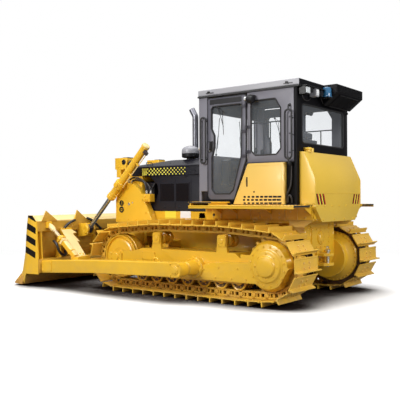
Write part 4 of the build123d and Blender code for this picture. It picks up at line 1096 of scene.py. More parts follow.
# exhaust: base flange, clamp, seamed pipe and a bent outlet with a rolled lip
d = Shape()
d.turn(at(2080, 0, 2012), (0, 0, 1), [(0, 0), (0, 82), (8, 82), (10, 64), (60, 62), (112, 62), (118, 56), (124, 52), (124, 0)], 44)
for k in range(6):
    a = TAU * k / 6
    d.bolt(at(2080 + 73 * math.cos(a), 73 * math.sin(a), 2020), (0, 0, 1), 6, 6, 0, False)
d.turn(at(2080, 0, 2150), (0, 0, 1), [(0, 49), (0, 58), (6, 60), (22, 60), (28, 58), (28, 49)], 44, 1, True)
d.box(2064, 2096, 56, 86, 2154, 2174, 1)
d.bolt(at(2080, 86, 2164), (0, 1, 0), 8, 8, 1, False)
lean = Vector((0.5, 0, 0.866))
bend = [at(2080, 0, 2700), at(2083, 0, 2725), at(2091, 0, 2750)]
outer = [at(2080, 0, 2120), at(2080, 0, 2640), at(2080, 0, 2700), at(2082, 0, 2722), at(2089, 0, 2745)] + [at(2080, 0, 2725) + lean * (t / 1000) for t in (45, 90, 142)]
inner = list(reversed(outer))
frames, pts, faces = [], [], []
seg = 40
for route, radius in ((outer, 48), (inner, 43.5)):
    for i, p in enumerate(route):
        t = (route[min(i + 1, len(route) - 1)] - route[max(i - 1, 0)]).normalized()
        if radius < 48:
            t = -t
        u = Vector((0, 1, 0))
        w = t.cross(u)
        r = radius - (0.5 if radius == 48 and i == len(route) - 1 else 0)
        pts += [p + (u * math.cos(TAU * k / seg) + w * math.sin(TAU * k / seg)) * (r / 1000) for k in range(seg)]
rows = len(outer) * 2
for i in range(rows):
    j = (i + 1) % rows
    faces += [(i * seg + k, i * seg + (k + 1) % seg, j * seg + (k + 1) % seg, j * seg + k) for k in range(seg)]
d.put(pts, faces, 0)
for z in (2300, 2500):
    d.turn(at(2080, 0, z), (0, 0, 1), [(0, 47), (0, 49.5), (5, 49.5), (5, 47)], 40, 0, True)
piece(d, "exhaust_pipe", "machine", ["exhaust_steel", "dark_steel"], 1.0, 2, 28, ("exhaust_stack",))

# air intake: neck with a hose clamp, dark bowl with vanes, domed cap with a wing nut
d = Shape()
c = at(2005, 225, 2012)
d.turn(c, (0, 0, 1), [(0, 0), (0, 84), (6, 84), (9, 62), (84, 60), (94, 66), (96, 66), (96, 0)], 44, 1)
d.turn(c, (0, 0, 1), [(40, 58), (40, 64), (54, 64), (54, 58)], 40, 2, True)
d.turn(c, (0, 0, 1), [(30, 0), (30, 110), (36, 128), (46, 137), (60, 139), (86, 139), (92, 130), (96, 126), (96, 0)], 56, 1)
d.turn(c, (0, 0, 1), [(94, 0), (94, 134), (98, 139), (108, 140), (140, 139), (164, 134), (184, 122), (202, 98), (214, 66), (220, 34), (222, 0)], 56, 0)
for k in range(24):
    a = TAU * k / 24
    n = Vector((math.cos(a), math.sin(a), 0))
    t = Vector((-math.sin(a), math.cos(a), 0))
    p = c + n * 0.124 + Vector((0, 0, 0.086))
    d.prism([p - t * 0.006, p + t * 0.004, p + t * 0.010 + n * 0.016, p + n * 0.016], Vector((0, 0, 0.015)), 1)
d.turn(c, (0, 0, 1), [(214, 0), (214, 16), (226, 14), (229, 8), (229, 0)], 18, 2)
piece(d, "air_intake_cap", "machine", ["precleaner_grey", "black_trim", "zinc"], 1.2, 2, 28, ("air_precleaner",))

# work lamps on their yellow brackets at the nose
skin("front_lamps", ["yellow"], 6, 3, 25, None)
d = Shape()
for s in (1, -1):
    y = s * 400
    # lamp: rim and ribbed lens in front, black shell and cable gland behind
    d.turn(at(3420, y, 1990), (1, 0, 0), [(0, 0), (0, 74), (10, 76), (14, 72), (14, 62), (10, 60), (10, 0)], 36, 1)
    d.turn(at(3430, y, 1990), (1, 0, 0), [(0, 0), (0, 60), (3, 52), (5, 30), (6, 0)], 36, 2)
    d.turn(at(3156, y, 1990), (-1, 0, 0.25), [(-8, 0), (-8, 62), (8, 60), (24, 46), (34, 22), (38, 0)], 32, 1)
    d.turn(at(3215, y + s * 90, 2010), (0, s, 0), [(-2, 0), (-2, 46), (4, 44), (7, 38), (7, 0)], 28, 1)
    d.box(3145, 3260, y - 70, y + 70, 2083, 2092, 1)
    for dy in (-74, 74):
        d.bolt(at(3130, y + dy, 1805), (0, 0, 1), 9, 7, 0)
        d.bolt(at(3340, y + dy * 1.216, 1940), (0, 1 if dy > 0 else -1, 0), 12, 9, 0)
piece(d, "front_lamp_parts", "machine", ["yellow", "black_trim", "lens_clear"], 1.4, 2, 28, ())


# ================================================================ fenders and steps
for side_name, s in SIDES:
    skin("fender_" + side_name, ["yellow"], 4, 2, 25, None)
d = Shape()
grip = Shape()
for s in (1, -1):
    # rolled outer edge, tread bars on the deck and on the step, bolts on the deck and under it
    d.tube([at(-405, s * 1250, 1298), at(1236, s * 1250, 1298)], 7, 10)
    for i in range(30):
        for j in range(9):
            x, y = -380 + 53 * i + (26 if j % 2 else 0), s * (850 + 44 * j)
            if x < 830:
                a = math.radians(45 if (i + j) % 2 else -45)
                u, w = Vector((math.cos(a), math.sin(a), 0)) * 0.015, Vector((-math.sin(a), math.cos(a), 0)) * 0.0038
                p = at(x, y, 1304.5)
                grip.prism([p - u, p - u * 0.6 - w, p + u * 0.6 - w, p + u, p + u * 0.6 + w, p - u * 0.6 + w], Vector((0, 0, 0.0028)))
    for i in range(7):
        for j in range(9):
            p = at(878 + 54 * i + (26 if j % 2 else 0), s * (836 + 46 * j), 1351.5)
            a = math.radians(45 if (i + j) % 2 else -45)
            u, w = Vector((math.cos(a), math.sin(a), 0)) * 0.015, Vector((-math.sin(a), math.cos(a), 0)) * 0.0038
            grip.prism([p - u, p - u * 0.6 - w, p + u * 0.6 - w, p + u, p + u * 0.6 + w, p - u * 0.6 + w], Vector((0, 0, 0.0028)))
    for x in (-330, 0, 200, 430, 640, 800):
        d.bolt(at(x, s * 818, 1305), (0, 0, 1), 11, 8, 0)
    for x in (-350, 60, 255, 560, 835, 1065):
        d.bolt(at(x, s * 1120, 1280), (0, 0, -1), 10, 8, 0)
piece(d, "fender_fittings", "machine", ["yellow"], 1.4, 2, 28, ())
piece(grip, "fender_tread_bars", "machine", ["yellow_worn"], 0, 1, 28, ())
d = Shape()
for s in (1, -1):
    # black rubber pads along the step and the sill
    d.box(850, 1236, s * 1251, s * 1244, 1336, 1351)
    d.box(830, 1238, s * 790, s * 812, 1306, 1330)
    d.box(-412, -404, s * 820, s * 1248, 1281, 1304)
piece(d, "step_edge_pads", "machine", ["rubber"], 1.2, 2, 28, ())


# ================================================================ cab
skin("cab_floor", ["cab_dark"], 3, 2, 25, None)
skin("cab_front", ["cab_grey"], 10, 4, 30, None)
skin("cab_rear", ["rear_black"], 8, 3, 30, None)
skin("cab_roof", ["cab_light", "rear_black"], 9, 3, 30, lambda c, n: 1 if c[0] < -200 or c[2] < 2872 else 0)
for side_name, s in SIDES:
    skin("cab_quarter_" + side_name, ["cab_grey"], 8, 3, 30, None)
    skin("cab_door_" + side_name, ["door_grey"], 7, 3, 30, None)
    for node in ("quarter_window_", "door_glass_"):
        ob = nodes[node + side_name]
        ob.data.materials.clear()
        ob.data.materials.append(M["cab_glass"])
for node in ("front_windows", "rear_window"):
    ob = nodes[node]
    ob.data.materials.clear()
    ob.data.materials.append(M["cab_glass"])

QUARTER = [(40, 2060), (110, 1985), (440, 1985), (510, 2050), (510, 2690), (460, 2735), (120, 2735), (40, 2600)]
DOOR = [(592, 2830), (592, 1945), (790, 1400), (808, 1385), (1200, 1385), (1240, 1430), (1240, 2830)]
DOOR_GLASS = [(652, 2715), (668, 1985), (800, 1520), (860, 1465), (1120, 1465), (1175, 1530), (1175, 1990), (1130, 2130), (1130, 2300), (1180, 2400), (1180, 2680), (1150, 2715)]


def seal(shape, outline, y, radius, thick, mat=0, lap=30):
    """Rubber bead that follows an outline in the side view, its corners rounded."""
    shape.tube(rounded([at(x, y, z) for x, z in outline], lap, 5, True), radius, 8, mat, True)


def grown(outline, by):
    """The outline moved outward by some mm, corner by corner."""
    cx, cz = sum(p[0] for p in outline) / len(outline), sum(p[1] for p in outline) / len(outline)
    out = []
    for i, p in enumerate(outline):
        a, b = outline[i - 1], outline[(i + 1) % len(outline)]
        n = [0, 0]
        for q, r in ((a, p), (p, b)):
            l = math.dist(q, r)
            m_ = ((r[1] - q[1]) / l, -(r[0] - q[0]) / l)
            if (p[0] - cx) * m_[0] + (p[1] - cz) * m_[1] < 0:
                m_ = (-m_[0], -m_[1])
            n[0] += m_[0]
            n[1] += m_[1]
        l = math.hypot(*n) or 1
        out.append((p[0] + n[0] / l * by, p[1] + n[1] / l * by))
    return out


d = Shape()
for s in (1, -1):
    seal(d, QUARTER, s * 777, 11, 0)
    # gutter line under the roof fascia, all round the cab
    d.box(-240, 1414, s * 781, s * 802, 2856, 2880)
d.box(1408, 1420, -796, 796, 2862, 2876)
d.box(-250, -238, -796, 796, 2862, 2876)
for ya, yb, za, zb in ((-700, 700, 2030, 2790), (540, 700, 1600, 1970), (-700, -540, 1600, 1970)):
    d.tube(rounded([at(1402, ya, za), at(1402, yb, za), at(1402, yb, zb), at(1402, ya, zb)], 45, 5, True), 10, 8, 0, True)
d.tube(rounded([at(-196, -630, 2130), at(-196, 630, 2130), at(-196, 630, 2650), at(-196, -630, 2650)], 55, 5, True), 11, 8, 0, True)
piece(d, "cab_window_seals", "machine", ["rubber"], 0, 1, 40, ())

for side_name, s in SIDES:
    door = Shape()
    seal(door, DOOR_GLASS, s * 783, 11, 0, 0, 36)
    seal(door, grown(DOOR, 3), s * 776, 9, 0, 0, 26)
    # latch: pull handle in its cup, lock barrel
    door.side([(1150, 2062), (1226, 2062), (1230, 2070), (1230, 2214), (1222, 2222), (1152, 2222), (1146, 2214), (1146, 2070)], s * 785, s * 791, 0)
    door.tube(rounded([at(1180, s * 788, 2096), at(1180, s * 822, 2100), at(1180, s * 822, 2200), at(1180, s * 788, 2206)], 16, 4), 9, 10, 0)
    door.turn(at(1206, s * 791, 2080), (0, s, 0), [(0, 0), (0, 12), (6, 12), (8, 9), (8, 0)], 20, 1)
    # dark header over the glass
    door.side([(664, 2742), (1196, 2742), (1204, 2750), (1204, 2806), (1196, 2814), (664, 2814), (656, 2806), (656, 2750)], s * 785, s * 789, 2)
    piece(door, "cab_door_trim_" + side_name, "door_" + side_name, ["rubber", "zinc", "black_trim"], 1.2, 2, 40, ())
    # door hinges: knuckles on the rear edge
    h = Shape()
    for z in (2010, 2350, 2700):
        h.turn(at(580, s * 806, z), (0, 0, 1), [(-52, 0), (-52, 11), (-46, 13), (-2, 13), (-2, 0)], 18)
        h.side([(590, z - 50), (650, z - 50), (650, z - 4), (590, z - 4)], s * 785, s * 792)
        h.bolt(at(634, s * 792, z - 27), (0, s, 0), 6, 5, 0, False)
        h.side([(580, z - 40), (606, z - 40), (606, z - 14), (580, z - 14)], s * 788, s * 806)
    piece(h, "cab_door_hinges_" + side_name, "door_" + side_name, ["cab_dark"], 1.0, 2, 30, ())
    h = Shape()
    for z in (2010, 2350, 2700):
        h.turn(at(580, s * 806, z), (0, 0, 1), [(2, 0), (2, 13), (46, 13), (52, 11), (52, 0)], 18)
        h.side([(510, z + 4), (566, z + 4), (566, z + 50), (510, z + 50)], s * 780, s * 788)
        h.side([(552, z + 14), (580, z + 14), (580, z + 40), (552, z + 40)], s * 786, s * 806)
        h.bolt(at(528, s * 788, z + 27), (0, s, 0), 6, 5, 0, False)
    piece(h, "cab_post_hinges_" + side_name, "machine", ["cab_dark"], 1.0, 2, 30, ())

# grab rails: a tall loop by the front post, and one on stand-offs behind the side window
d = Shape()
for s in (1, -1):
    loop = [(1262, 1905), (1348, 1905), (1348, 2565), (1262, 2565)]
    d.tube(rounded([at(x, s * 818, z) for x, z in loop], 42, 6, True), 13, 10, 0, True)
    for z in (1960, 2510):
        d.rod(at(1262, s * 782, z), at(1262, s * 818, z), 8, 10)
        d.rod(at(1348, s * 782, z), at(1348, s * 818, z), 8, 10)
    rail = [(-50, 1915), (-150, 1915), (-150, 2560), (-50, 2560)]
    d.tube(rounded([at(x, s * 826, z) for x, z in rail], 48, 6, True), 13, 10, 0, True)
    for z in (1850, 2625):
        d.tube(rounded([at(-100, s * 782, z), at(-100, s * 826, z), at(-100, s * 826, z + (66 if z < 2000 else -66))], 18, 4), 9, 10)
        d.turn(at(-100, s * 780, z), (0, s, 0), [(0, 0), (0, 22), (5, 21), (7, 16), (7, 0)], 22)
    for z in (2020, 2230, 2450):
        d.rod(at(-150, s * 780, z), at(-150, s * 826, z), 7, 10)
piece(d, "cab_grab_rails", "machine", ["rubber"], 0, 1, 45, ())
d = Shape()
for s in (1, -1):
    d.side([(1278, 1925), (1332, 1925), (1332, 2545), (1278, 2545)], s * 781, s * 786)
    d.side([(-66, 1940), (-134, 1940), (-134, 2540), (-66, 2540)], s * 781, s * 786)
    for z in (2000, 2250, 2470):
        d.bolt(at(-100, s * 786, z), (0, s, 0), 10, 6, 1)
    # post beads beside the door, and the lower sill
    d.side([(1246, 1500), (1254, 1500), (1254, 2860), (1246, 2860)], s * 780, s * 788, 1)
    d.side([(-160, 1878), (575, 1878), (575, 1892), (-160, 1892)], s * 780, s * 786, 1)
    # roof brackets with their lifting eyes on the fascia
    for x in (1200, -80):
        d.side([(x - 70, 2905), (x + 62, 2905), (x + 62, 2914), (x - 70, 2914)], s * 796, s * 806, 2)
        d.side([(x - 8, 2912), (x + 34, 2912), (x + 34, 2936), (x - 2, 2936)], s * 796, s * 812, 2)
    d.side([(-236, 2884), (1400, 2884), (1400, 2888), (-236, 2888)], s * 796, s * 797.5, 1)
piece(d, "cab_side_plates", "machine", ["cab_grey", "cab_dark", "black_trim"], 1.6, 2, 30, ())

# side work lamps over the rear edge of the door
d = Shape()
for s in (1, -1):
    d.box(500, 540, s * 780, s * 812, 2700, 2800, 0)
    d.side([(540, 2800), (470, 2812), (420, 2800), (420, 2790), (470, 2800), (540, 2788)], s * 784, s * 850, 0)
    d.turn(at(470, s * 852, 2745), (-1, 0, -0.18), [(-58, 0), (-58, 30), (-40, 44), (10, 50), (40, 52), (44, 48), (44, 0)], 30, 0)
    d.turn(at(427, s * 852, 2737), (-1, 0, -0.18), [(0, 0), (0, 45), (4, 40), (7, 20), (8, 0)], 30, 0)
    d.turn(at(544, s * 836, 2762), (1, 0, 0.1), [(0, 0), (0, 26), (22, 28), (30, 24), (30, 0)], 24, 1)
    d.box(440, 500, s * 832, s * 872, 2788, 2800, 0)
piece(d, "cab_side_lamps", "machine", ["black_trim", "lens_clear"], 1.4, 2, 30, ())

# front: wipers with their arms
for side_name, s in SIDES:
    w = Shape()
    y = s * 772
    w.turn(at(1060, s * 779, 2690), (0, s, 0), [(0, 0), (0, 16), (8, 15), (10, 10), (10, 0)], 22)
    w.tube([at(1060, s * 787, 2690), at(985, s * 789, 2480), at(965, s * 787, 2410)], 4.5, 8)
    w.tube([at(990, s * 781, 2640), at(968, s * 781, 2300)], 4, 8)
    w.tube([at(1056, s * 787, 2690), at(930, s * 785, 2600)], 3, 8)
    piece(w, "door_wiper_" + side_name, "door_" + side_name, ["black_trim"], 0, 1, 40, ())
w = Shape()
for s in (1, -1):
    w.turn(at(1408, s * 350, 2060), (1, 0, 0), [(0, 0), (0, 18), (10, 17), (12, 10), (12, 0)], 22)
    w.tube([at(1418, s * 350, 2060), at(1416, s * 300, 2330), at(1410, s * 290, 2380)], 5, 8)
    w.tube([at(1404, s * 330, 2150), at(1404, s * 270, 2620)], 5, 8)
piece(w, "front_wipers", "machine", ["black_trim"], 0, 1, 40, ())

# inside the cab: headliner, dash and its gauges
d = Shape()
d.box(-150, 1325, -690, 690, 2872, 2884, 0)
d.front([(-700, 2660), (700, 2660), (700, 2862), (-700, 2862)], 1330, 1366, 0)
for x in (140, 560, 980):
    d.box(x, x + 260, -250, 250, 2862, 2872, 1)
piece(d, "cab_headliner", "machine", ["console", "cab_dark"], 3, 2, 30, ())
d = Shape()
d.front([(-330, 1600), (330, 1600), (330, 1960), (250, 2000), (-250, 2000), (-330, 1960)], 1190, 1330, 0)
d.side([(1190, 1960), (1140, 1900), (1140, 1700), (1190, 1660)], -300, 300, 0)
for k, r in ((-180, 44), (-70, 34), (20, 34), (110, 34), (200, 44)):
    d.turn(at(1142, k, 1830), (-1, 0, 0.2), [(0, 0), (0, r + 8), (8, r + 8), (10, r), (6, r - 2), (6, 0)], 28, 1)
for s in (1, -1):
    # control levers on the consoles, with their boots, and an armrest each side
    for x, y, hi in ((640, 420, 150), (560, 380, 120)):
        d.turn(at(x, s * y, 1858), (0.1, 0, 1), [(0, 0), (0, 46), (10, 44), (18, 34), (26, 36), (32, 26), (40, 24), (48, 14), (48, 0)], 24, 2)
        d.rod(at(x, s * y, 1900), at(x + 16, s * y, 1900 + hi), 8, 10, 1)
        d.turn(at(x + 16, s * y, 1890 + hi), (0.1, 0, 1), [(0, 0), (4, 18), (30, 24), (70, 22), (84, 14), (88, 0)], 20, 2)
    d.box(90, 480, s * 300, s * 384, 1900, 1948, 2)
    d.box(150, 200, s * 320, s * 364, 1858, 1902, 0)
    d.box(380, 420, s * 320, s * 364, 1858, 1902, 0)
    # pedals
    d.side([(1010, 1330), (1026, 1324), (1080, 1450), (1064, 1456)], s * 120, s * 220, 1)
    d.rod(at(1060, s * 170, 1420), at(1180, s * 170, 1500), 10, 10, 0)
piece(d, "cab_controls", "machine", ["console", "dark_steel", "rubber"], 3, 2, 30, ())
skin("operator_consoles", ["console"], 14, 3, 30, None)


# ================================================================ side boxes
skin("battery_box", ["yellow_box"], 4, 2, 25, None)
skin("battery_box_door", ["yellow_box"], 5, 3, 25, None)
skin("hydraulic_tank", ["yellow_box"], 6, 3, 25, None)


def box_panel(shape, s, y):
    """Face of a side box: pressed border, slot handle, keyhole and three rows of vent slots."""
    edge = [(20, 1345), (764, 1345), (544, 1846), (20, 1846)]
    shape.tube(rounded([at(x, y, z) for x, z in edge], 26, 4, True), 3, 8, 0, True)
    shape.side([(556, 1560), (578, 1560), (578, 1690), (556, 1690)], y - s * 1, y + s * 1.2, 1)
    shape.tube(rounded([at(582, y, 1566), at(582, y + s * 5, 1572), at(582, y + s * 5, 1678), at(582, y, 1684)], 4, 3), 3, 8, 0)
    shape.turn(at(452, y, 1486), (0, s, 0), [(0, 0), (0, 13), (3, 12), (4, 8), (2, 6), (2, 0)], 20, 1)
    for row in range(3):
        for k in range(9):
            x = 606 - 69 * k + (10 if row == 1 else 0)
            w = 16 + 1.8 * k
            z = 1418 - 42 * row
            shape.side([(x - w, z - 13), (x + w, z - 13), (x + w + 4, z), (x + w, z + 13), (x - w, z + 13), (x - w - 4, z)], y - s * 1, y + s * 0.8, 1)
            shape.tube([at(x - w, y, z + 15), at(x, y + s * 2.0, z + 15.5), at(x + w, y, z + 15)], 1.6, 6, 0)


d = Shape()
box_panel(d, 1, 796)
for z in (1420, 1600, 1780):
    d.turn(at(-22, 800, z), (0, 0, 1), [(-34, 0), (-34, 7), (34, 7), (34, 0)], 14, 0)
piece(d, "battery_door_face", "battery_door", ["yellow_box", "black_trim"], 0.8, 1, 28, ())
d = Shape()
box_panel(d, -1, -796)
d.turn(at(250, -700, 1880), (0, 0, 1), [(0, 0), (0, 56), (6, 56), (10, 48), (16, 50), (34, 50), (38, 44), (38, 0)], 34)
for x, z in ((0, 1330), (780, 1330), (0, 1860), (540, 1860)):
    d.bolt(at(x, -796, z), (0, -1, 0), 9, 6, 0)
piece(d, "oil_tank_face", "machine", ["yellow_box", "black_trim"], 0.8, 1, 28, ())
d = Shape()
# batteries on their tray, with clamps and terminals
for x in (20, 230):
    d.box(x, x + 190, 622, 772, 1330, 1560, 0)
    d.box(x - 4, x + 194, 618, 776, 1560, 1582, 0)
    for dx in (40, 150):
        d.turn(at(x + dx, 660, 1582), (0, 0, 1), [(0, 0), (0, 11), (18, 10), (18, 0)], 16, 1)
    for k in range(6):
        d.turn(at(x + 28 + 27 * k, 720, 1582), (0, 0, 1), [(0, 0), (0, 10), (5, 9), (5, 0)], 14, 0)
piece(d, "batteries", "machine", ["console", "zinc"], 2, 2, 28, ())
hose("battery_leads", "machine", [[(60, 660, 1604), (70, 660, 1660), (170, 670, 1690), (260, 665, 1660), (270, 660, 1604)],
                                  [(170, 660, 1604), (172, 660, 1640), (180, 640, 1700), (120, 625, 1790), (40, 622, 1840)],
                                  [(380, 660, 1604), (384, 655, 1660), (330, 640, 1740), (200, 625, 1800), (80, 622, 1845)]], 8, "hose")

# recess behind the side boxes: dark hoses down to the deck
hose("rear_recess_hoses", "machine",
     [[(-60, s * 765, 1345), (-62, s * 775, 1400), (-90, s * 776, 1450), (-120, s * 772, 1400), (-122, s * 765, 1340)] for s in (1, -1)] +
     [[(-40, s * 750, 1340), (-36, s * 768, 1430), (-70, s * 770, 1490), (-105, s * 766, 1560), (-112, s * 755, 1700), (-112, s * 752, 1840)] for s in (1, -1)],
     12, "hose")


# ================================================================ rear: tank, roof unit, lamps
skin("fuel_tank", ["yellow_tank"], 9, 3, 25, None)
d = Shape()
# seam round the tank, weld beads up its corners, filler neck and cap, straps' bolts below
d.box(-433, -429, -715, 715, 1462, 1470)
for s in (1, -1):
    d.side([(-430, 1462), (-210, 1462), (-210, 1470), (-430, 1470)], s * 715, s * 718)
    d.tube([at(-428, s * 713, 1320), at(-428, s * 713, 1658), at(-271, s * 713, 2008)], 5, 8)
    for x in (-400, -320, -240):
        d.bolt(at(x, s * 715, 1335), (0, s, 0), 10, 7, 0)
for y in [-660 + 220 * k for k in range(7)]:
    d.bolt(at(-430, y, 1292), (-1, 0, 0), 10, 7, 0)
for y in (-480, -160, 160, 480):
    d.bolt(at(-430, y, 1110), (-1, 0, 0), 13, 9, 0)
d.turn(at(-240, 560, 2005), (0, 0, 1), [(0, 0), (0, 62), (6, 62), (10, 44), (30, 40), (34, 52), (40, 58), (58, 58), (64, 52), (64, 0)], 40)
for k in range(3):
    a = TAU * k / 3
    d.rod(at(-240 + 20 * math.cos(a), 560 + 20 * math.sin(a), 2062), at(-240 + 56 * math.cos(a), 560 + 56 * math.sin(a), 2062), 7, 8)
piece(d, "fuel_tank_fittings", "machine", ["yellow_tank"], 1.4, 2, 28, ())
ref = Shape()
for y0, y1, turn_ in ((664, 436, 1), (-453, -662, -1)):
    # a set of slanting bars on the rear face: black, red and pale in turn
    n, step = 8, (y1 - y0) / 8.0
    for k in range(n):
        ya = y0 + step * k
        ref.front([(ya + turn_ * 26, 1452), (ya + step + turn_ * 26, 1452), (ya + step - turn_ * 26, 1312), (ya - turn_ * 26, 1312)], -430, -431.2, (2, 0, 1, 2, 0, 1, 2, 0)[k])
piece(ref, "rear_reflectors", "machine", ["reflector_red", "label_yellow", "stripe_black", "white_plate"], 0, 1, 28, ())

skin("condenser_box", ["rear_black"], 8, 3, 25, None)
d = Shape()
for k in range(9):
    z = 2862 + 11 * k
    d.box(-458, -449, -700, 40, z, z + 5)
# louvres down the underside slope, in three bays, and the frame round them
along_, out_ = Vector((0.785, 0, -0.62)), Vector((-0.62, 0, -0.785))
for y in (-535, -330, -125):
    c = at(-350, y, 2759)
    for k in range(11):
        p = c + Vector((0, (-85 + 17 * k) / 1000, 0))
        d.prism([p - along_ * 0.100, p - along_ * 0.100 + out_ * 0.010, p + along_ * 0.100 + out_ * 0.010, p + along_ * 0.100], Vector((0, 0.005, 0)))
    for side_ in (-1, 1):
        p = c + along_ * 0.108 * side_
        d.prism([p + Vector((0, -0.096, 0)), p + Vector((0, 0.096, 0)), p + Vector((0, 0.096, 0)) + out_ * 0.013, p + Vector((0, -0.096, 0)) + out_ * 0.013], along_ * 0.012)
piece(d, "condenser_grilles", "machine", ["black_trim"], 0.8, 1, 28, ())

d = Shape()
# rear work lamps on their shelf under the roof edge, marker lamp with a blue lens, brackets and horn
d.box(-330, -200, 120, 740, 2864, 2876, 0)
for y, w, mat in ((690, 110, 1), (420, 70, 2)):
    d.box(-318, -226, y - w / 2 - 8, y + w / 2 + 8, 2756, 2858, 0 if mat == 1 else 4)
    d.front([(y - w / 2, 2770), (y + w / 2, 2770), (y + w / 2, 2846), (y - w / 2, 2846)], -318, -326, mat)
    d.front([(y - w / 2 + 8, 2778), (y + w / 2 - 8, 2778), (y + w / 2 - 16, 2800), (y - w / 2 + 16, 2800)], -326, -330, 1)
    d.box(-290, -250, y - 10, y + 10, 2855, 2872, 0)
d.box(-330, -232, 560, 620, 2790, 2850, 0)
d.turn(at(-325, 150, 2776), (0, 0, 1), [(0, 0), (0, 66), (6, 70), (14, 70), (18, 64), (120, 58), (134, 50), (142, 30), (145, 0)], 40, 3)
d.box(-380, -252, 90, 212, 2762, 2778, 0)
d.turn(at(-260, 300, 2810), (-1, 0, 0), [(0, 0), (0, 20), (30, 22), (56, 44), (62, 46), (62, 0)], 28, 0)
piece(d, "rear_lamps", "machine", ["black_trim", "lens_clear", "white_plate", "lamp_blue", "cab_light"], 2, 2, 28, ())
hose("rear_lamp_leads", "machine", [[(-240, 700, 2760), (-250, 690, 2700), (-236, 600, 2690), (-222, 480, 2700), (-222, 400, 2760)],
                                    [(-246, 200, 2790), (-250, 150, 2720), (-230, 60, 2700), (-218, -60, 2720), (-216, -120, 2790)]], 6, "hose")
d = Shape()
# guard bars inside the far window, antenna and its foot
for s in (1, -1):
    d.tube([at(36, s * 744, 2428), at(512, s * 744, 2428)], 9, 10)
    d.tube([at(221, s * 744, 2428), at(221, s * 744, 1990)], 9, 10)
d.turn(at(-215, -740, 2640), (0, 0, 1), [(0, 0), (0, 14), (20, 12), (30, 6), (30, 0)], 16)
d.tube([at(-215, -740, 2660), at(-216, -748, 2800), at(-217, -752, 2850)], 3, 8)
piece(d, "rear_window_bars", "machine", ["black_trim"], 0, 1, 40, ())




# ================================================================ skirt under each fender, beside the deck
for side_name, s in SIDES:
    d = Shape()
    for x, w in ((1060, 26), (787, 20), (560, 10), (223, 22), (20, 10), (-170, 10)):
        d.side([(x, 1261), (x + w, 1261), (x + w, 1114), (x, 1114)], s * 700, s * 709)
    d.side([(-10, 1120), (-20, 1012), (-229, 1012), (-375, 1104), (-375, 1120)], s * 648, s * 662)
    d.side([(-20, 1012), (-229, 1012), (-375, 1104), (-375, 1116), (-226, 1024), (-20, 1024)], s * 662, s * 667)
    d.turn(at(1202, s * 700, 1163), (0, s, 0), [(0, 0), (0, 20), (3, 21), (5, 18), (5, 0)], 20, 1)
    for x, z in ((1215, 1240), (1215, 1130), (930, 1240), (640, 1240), (420, 1190), (420, 1140), (110, 1190), (110, 1140), (-60, 1220), (-280, 1220), (-280, 1140)):
        d.bolt(at(x, s * 700, z), (0, s, 0), 11, 8, 0)
    piece(d, "fender_skirt_" + side_name, "machine", ["yellow_box", "black_trim"], 1.2, 1, 28, ())


# ================================================================ seat: simulated cushions on a shell
def rounded_block(name, lo, hi, corner, rise=0.0, lean=None):
    """Closed block with rounded plan corners; metres, before the simulation; rise is not used."""
    bm = bmesh.new()
    bmesh.ops.create_cube(bm, size=1.0)
    for v in bm.verts:
        v.co = Vector(((lo[i] + hi[i]) / 2 + v.co[i] * (hi[i] - lo[i]) for i in range(3)))
    bmesh.ops.bevel(bm, geom=list(bm.edges), offset=corner, segments=4, profile=0.5, affect="EDGES")
    mesh = bpy.data.meshes.new(name)
    bm.to_mesh(mesh)
    bm.free()
    ob = bpy.data.objects.new(name, mesh)
    scene.collection.objects.link(ob)
    return ob


def inflate(ob, voxel, pressure, cap, steps=20):
    """Remesh, puff up with cloth pressure and keep every point within cap of its start; the result is the mesh."""
    remesh = ob.modifiers.new("remesh", "REMESH")
    remesh.mode, remesh.voxel_size = "VOXEL", voxel
    bpy.context.view_layer.update()
    deps = bpy.context.evaluated_depsgraph_get()
    mesh = bpy.data.meshes.new_from_object(ob.evaluated_get(deps))
    ob.modifiers.clear()
    ob.data = mesh
    start = [v.co.copy() for v in mesh.vertices]
    cloth = ob.modifiers.new("cloth", "CLOTH")
    cs = cloth.settings
    cs.quality = 5
    cs.use_pressure = True
    cs.uniform_pressure_force = pressure
    cs.tension_stiffness = cs.compression_stiffness = 15
    cs.bending_stiffness = 0.6
    cs.effector_weights.gravity = 0
    cloth.point_cache.frame_start, cloth.point_cache.frame_end = 1, steps
    for frame_no in range(1, steps + 1):
        scene.frame_set(frame_no)
    deps = bpy.context.evaluated_depsgraph_get()
    puffed = bpy.data.meshes.new_from_object(ob.evaluated_get(deps))
    ob.modifiers.clear()
    scene.frame_set(1)
    for v, p in zip(puffed.vertices, start):
        move = v.co - p
        if move.length > cap:
            v.co = p + move * (cap / move.length)
    ob.data = puffed
    return ob


def cushion(name, lo, hi, corner, channels, along, normal, cap=0.014, shear=None, depth=0.007):
    """Puffed pad with sewn channels pressed into its face; shear leans a backrest."""
    ob = inflate(rounded_block(name, lo, hi, corner), 0.008, 4.0, cap)
    for v in ob.data.vertices:
        facing = (v.co[normal] - lo[normal]) / (hi[normal] - lo[normal])
        if facing > 0.45:
            groove = sum(math.exp(-((v.co[along] - c) / 0.0065) ** 2) for c in channels)
            v.co[normal] -= depth * groove * min(1.0, (facing - 0.45) * 4)
        if shear:
            v.co.x += shear * (v.co.z - lo[2])
    for p in ob.data.polygons:
        p.use_smooth = True
    ob.data.materials.clear()
    ob.data.materials.append(M["seat_fabric"])
    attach(ob, "machine")
    return ob


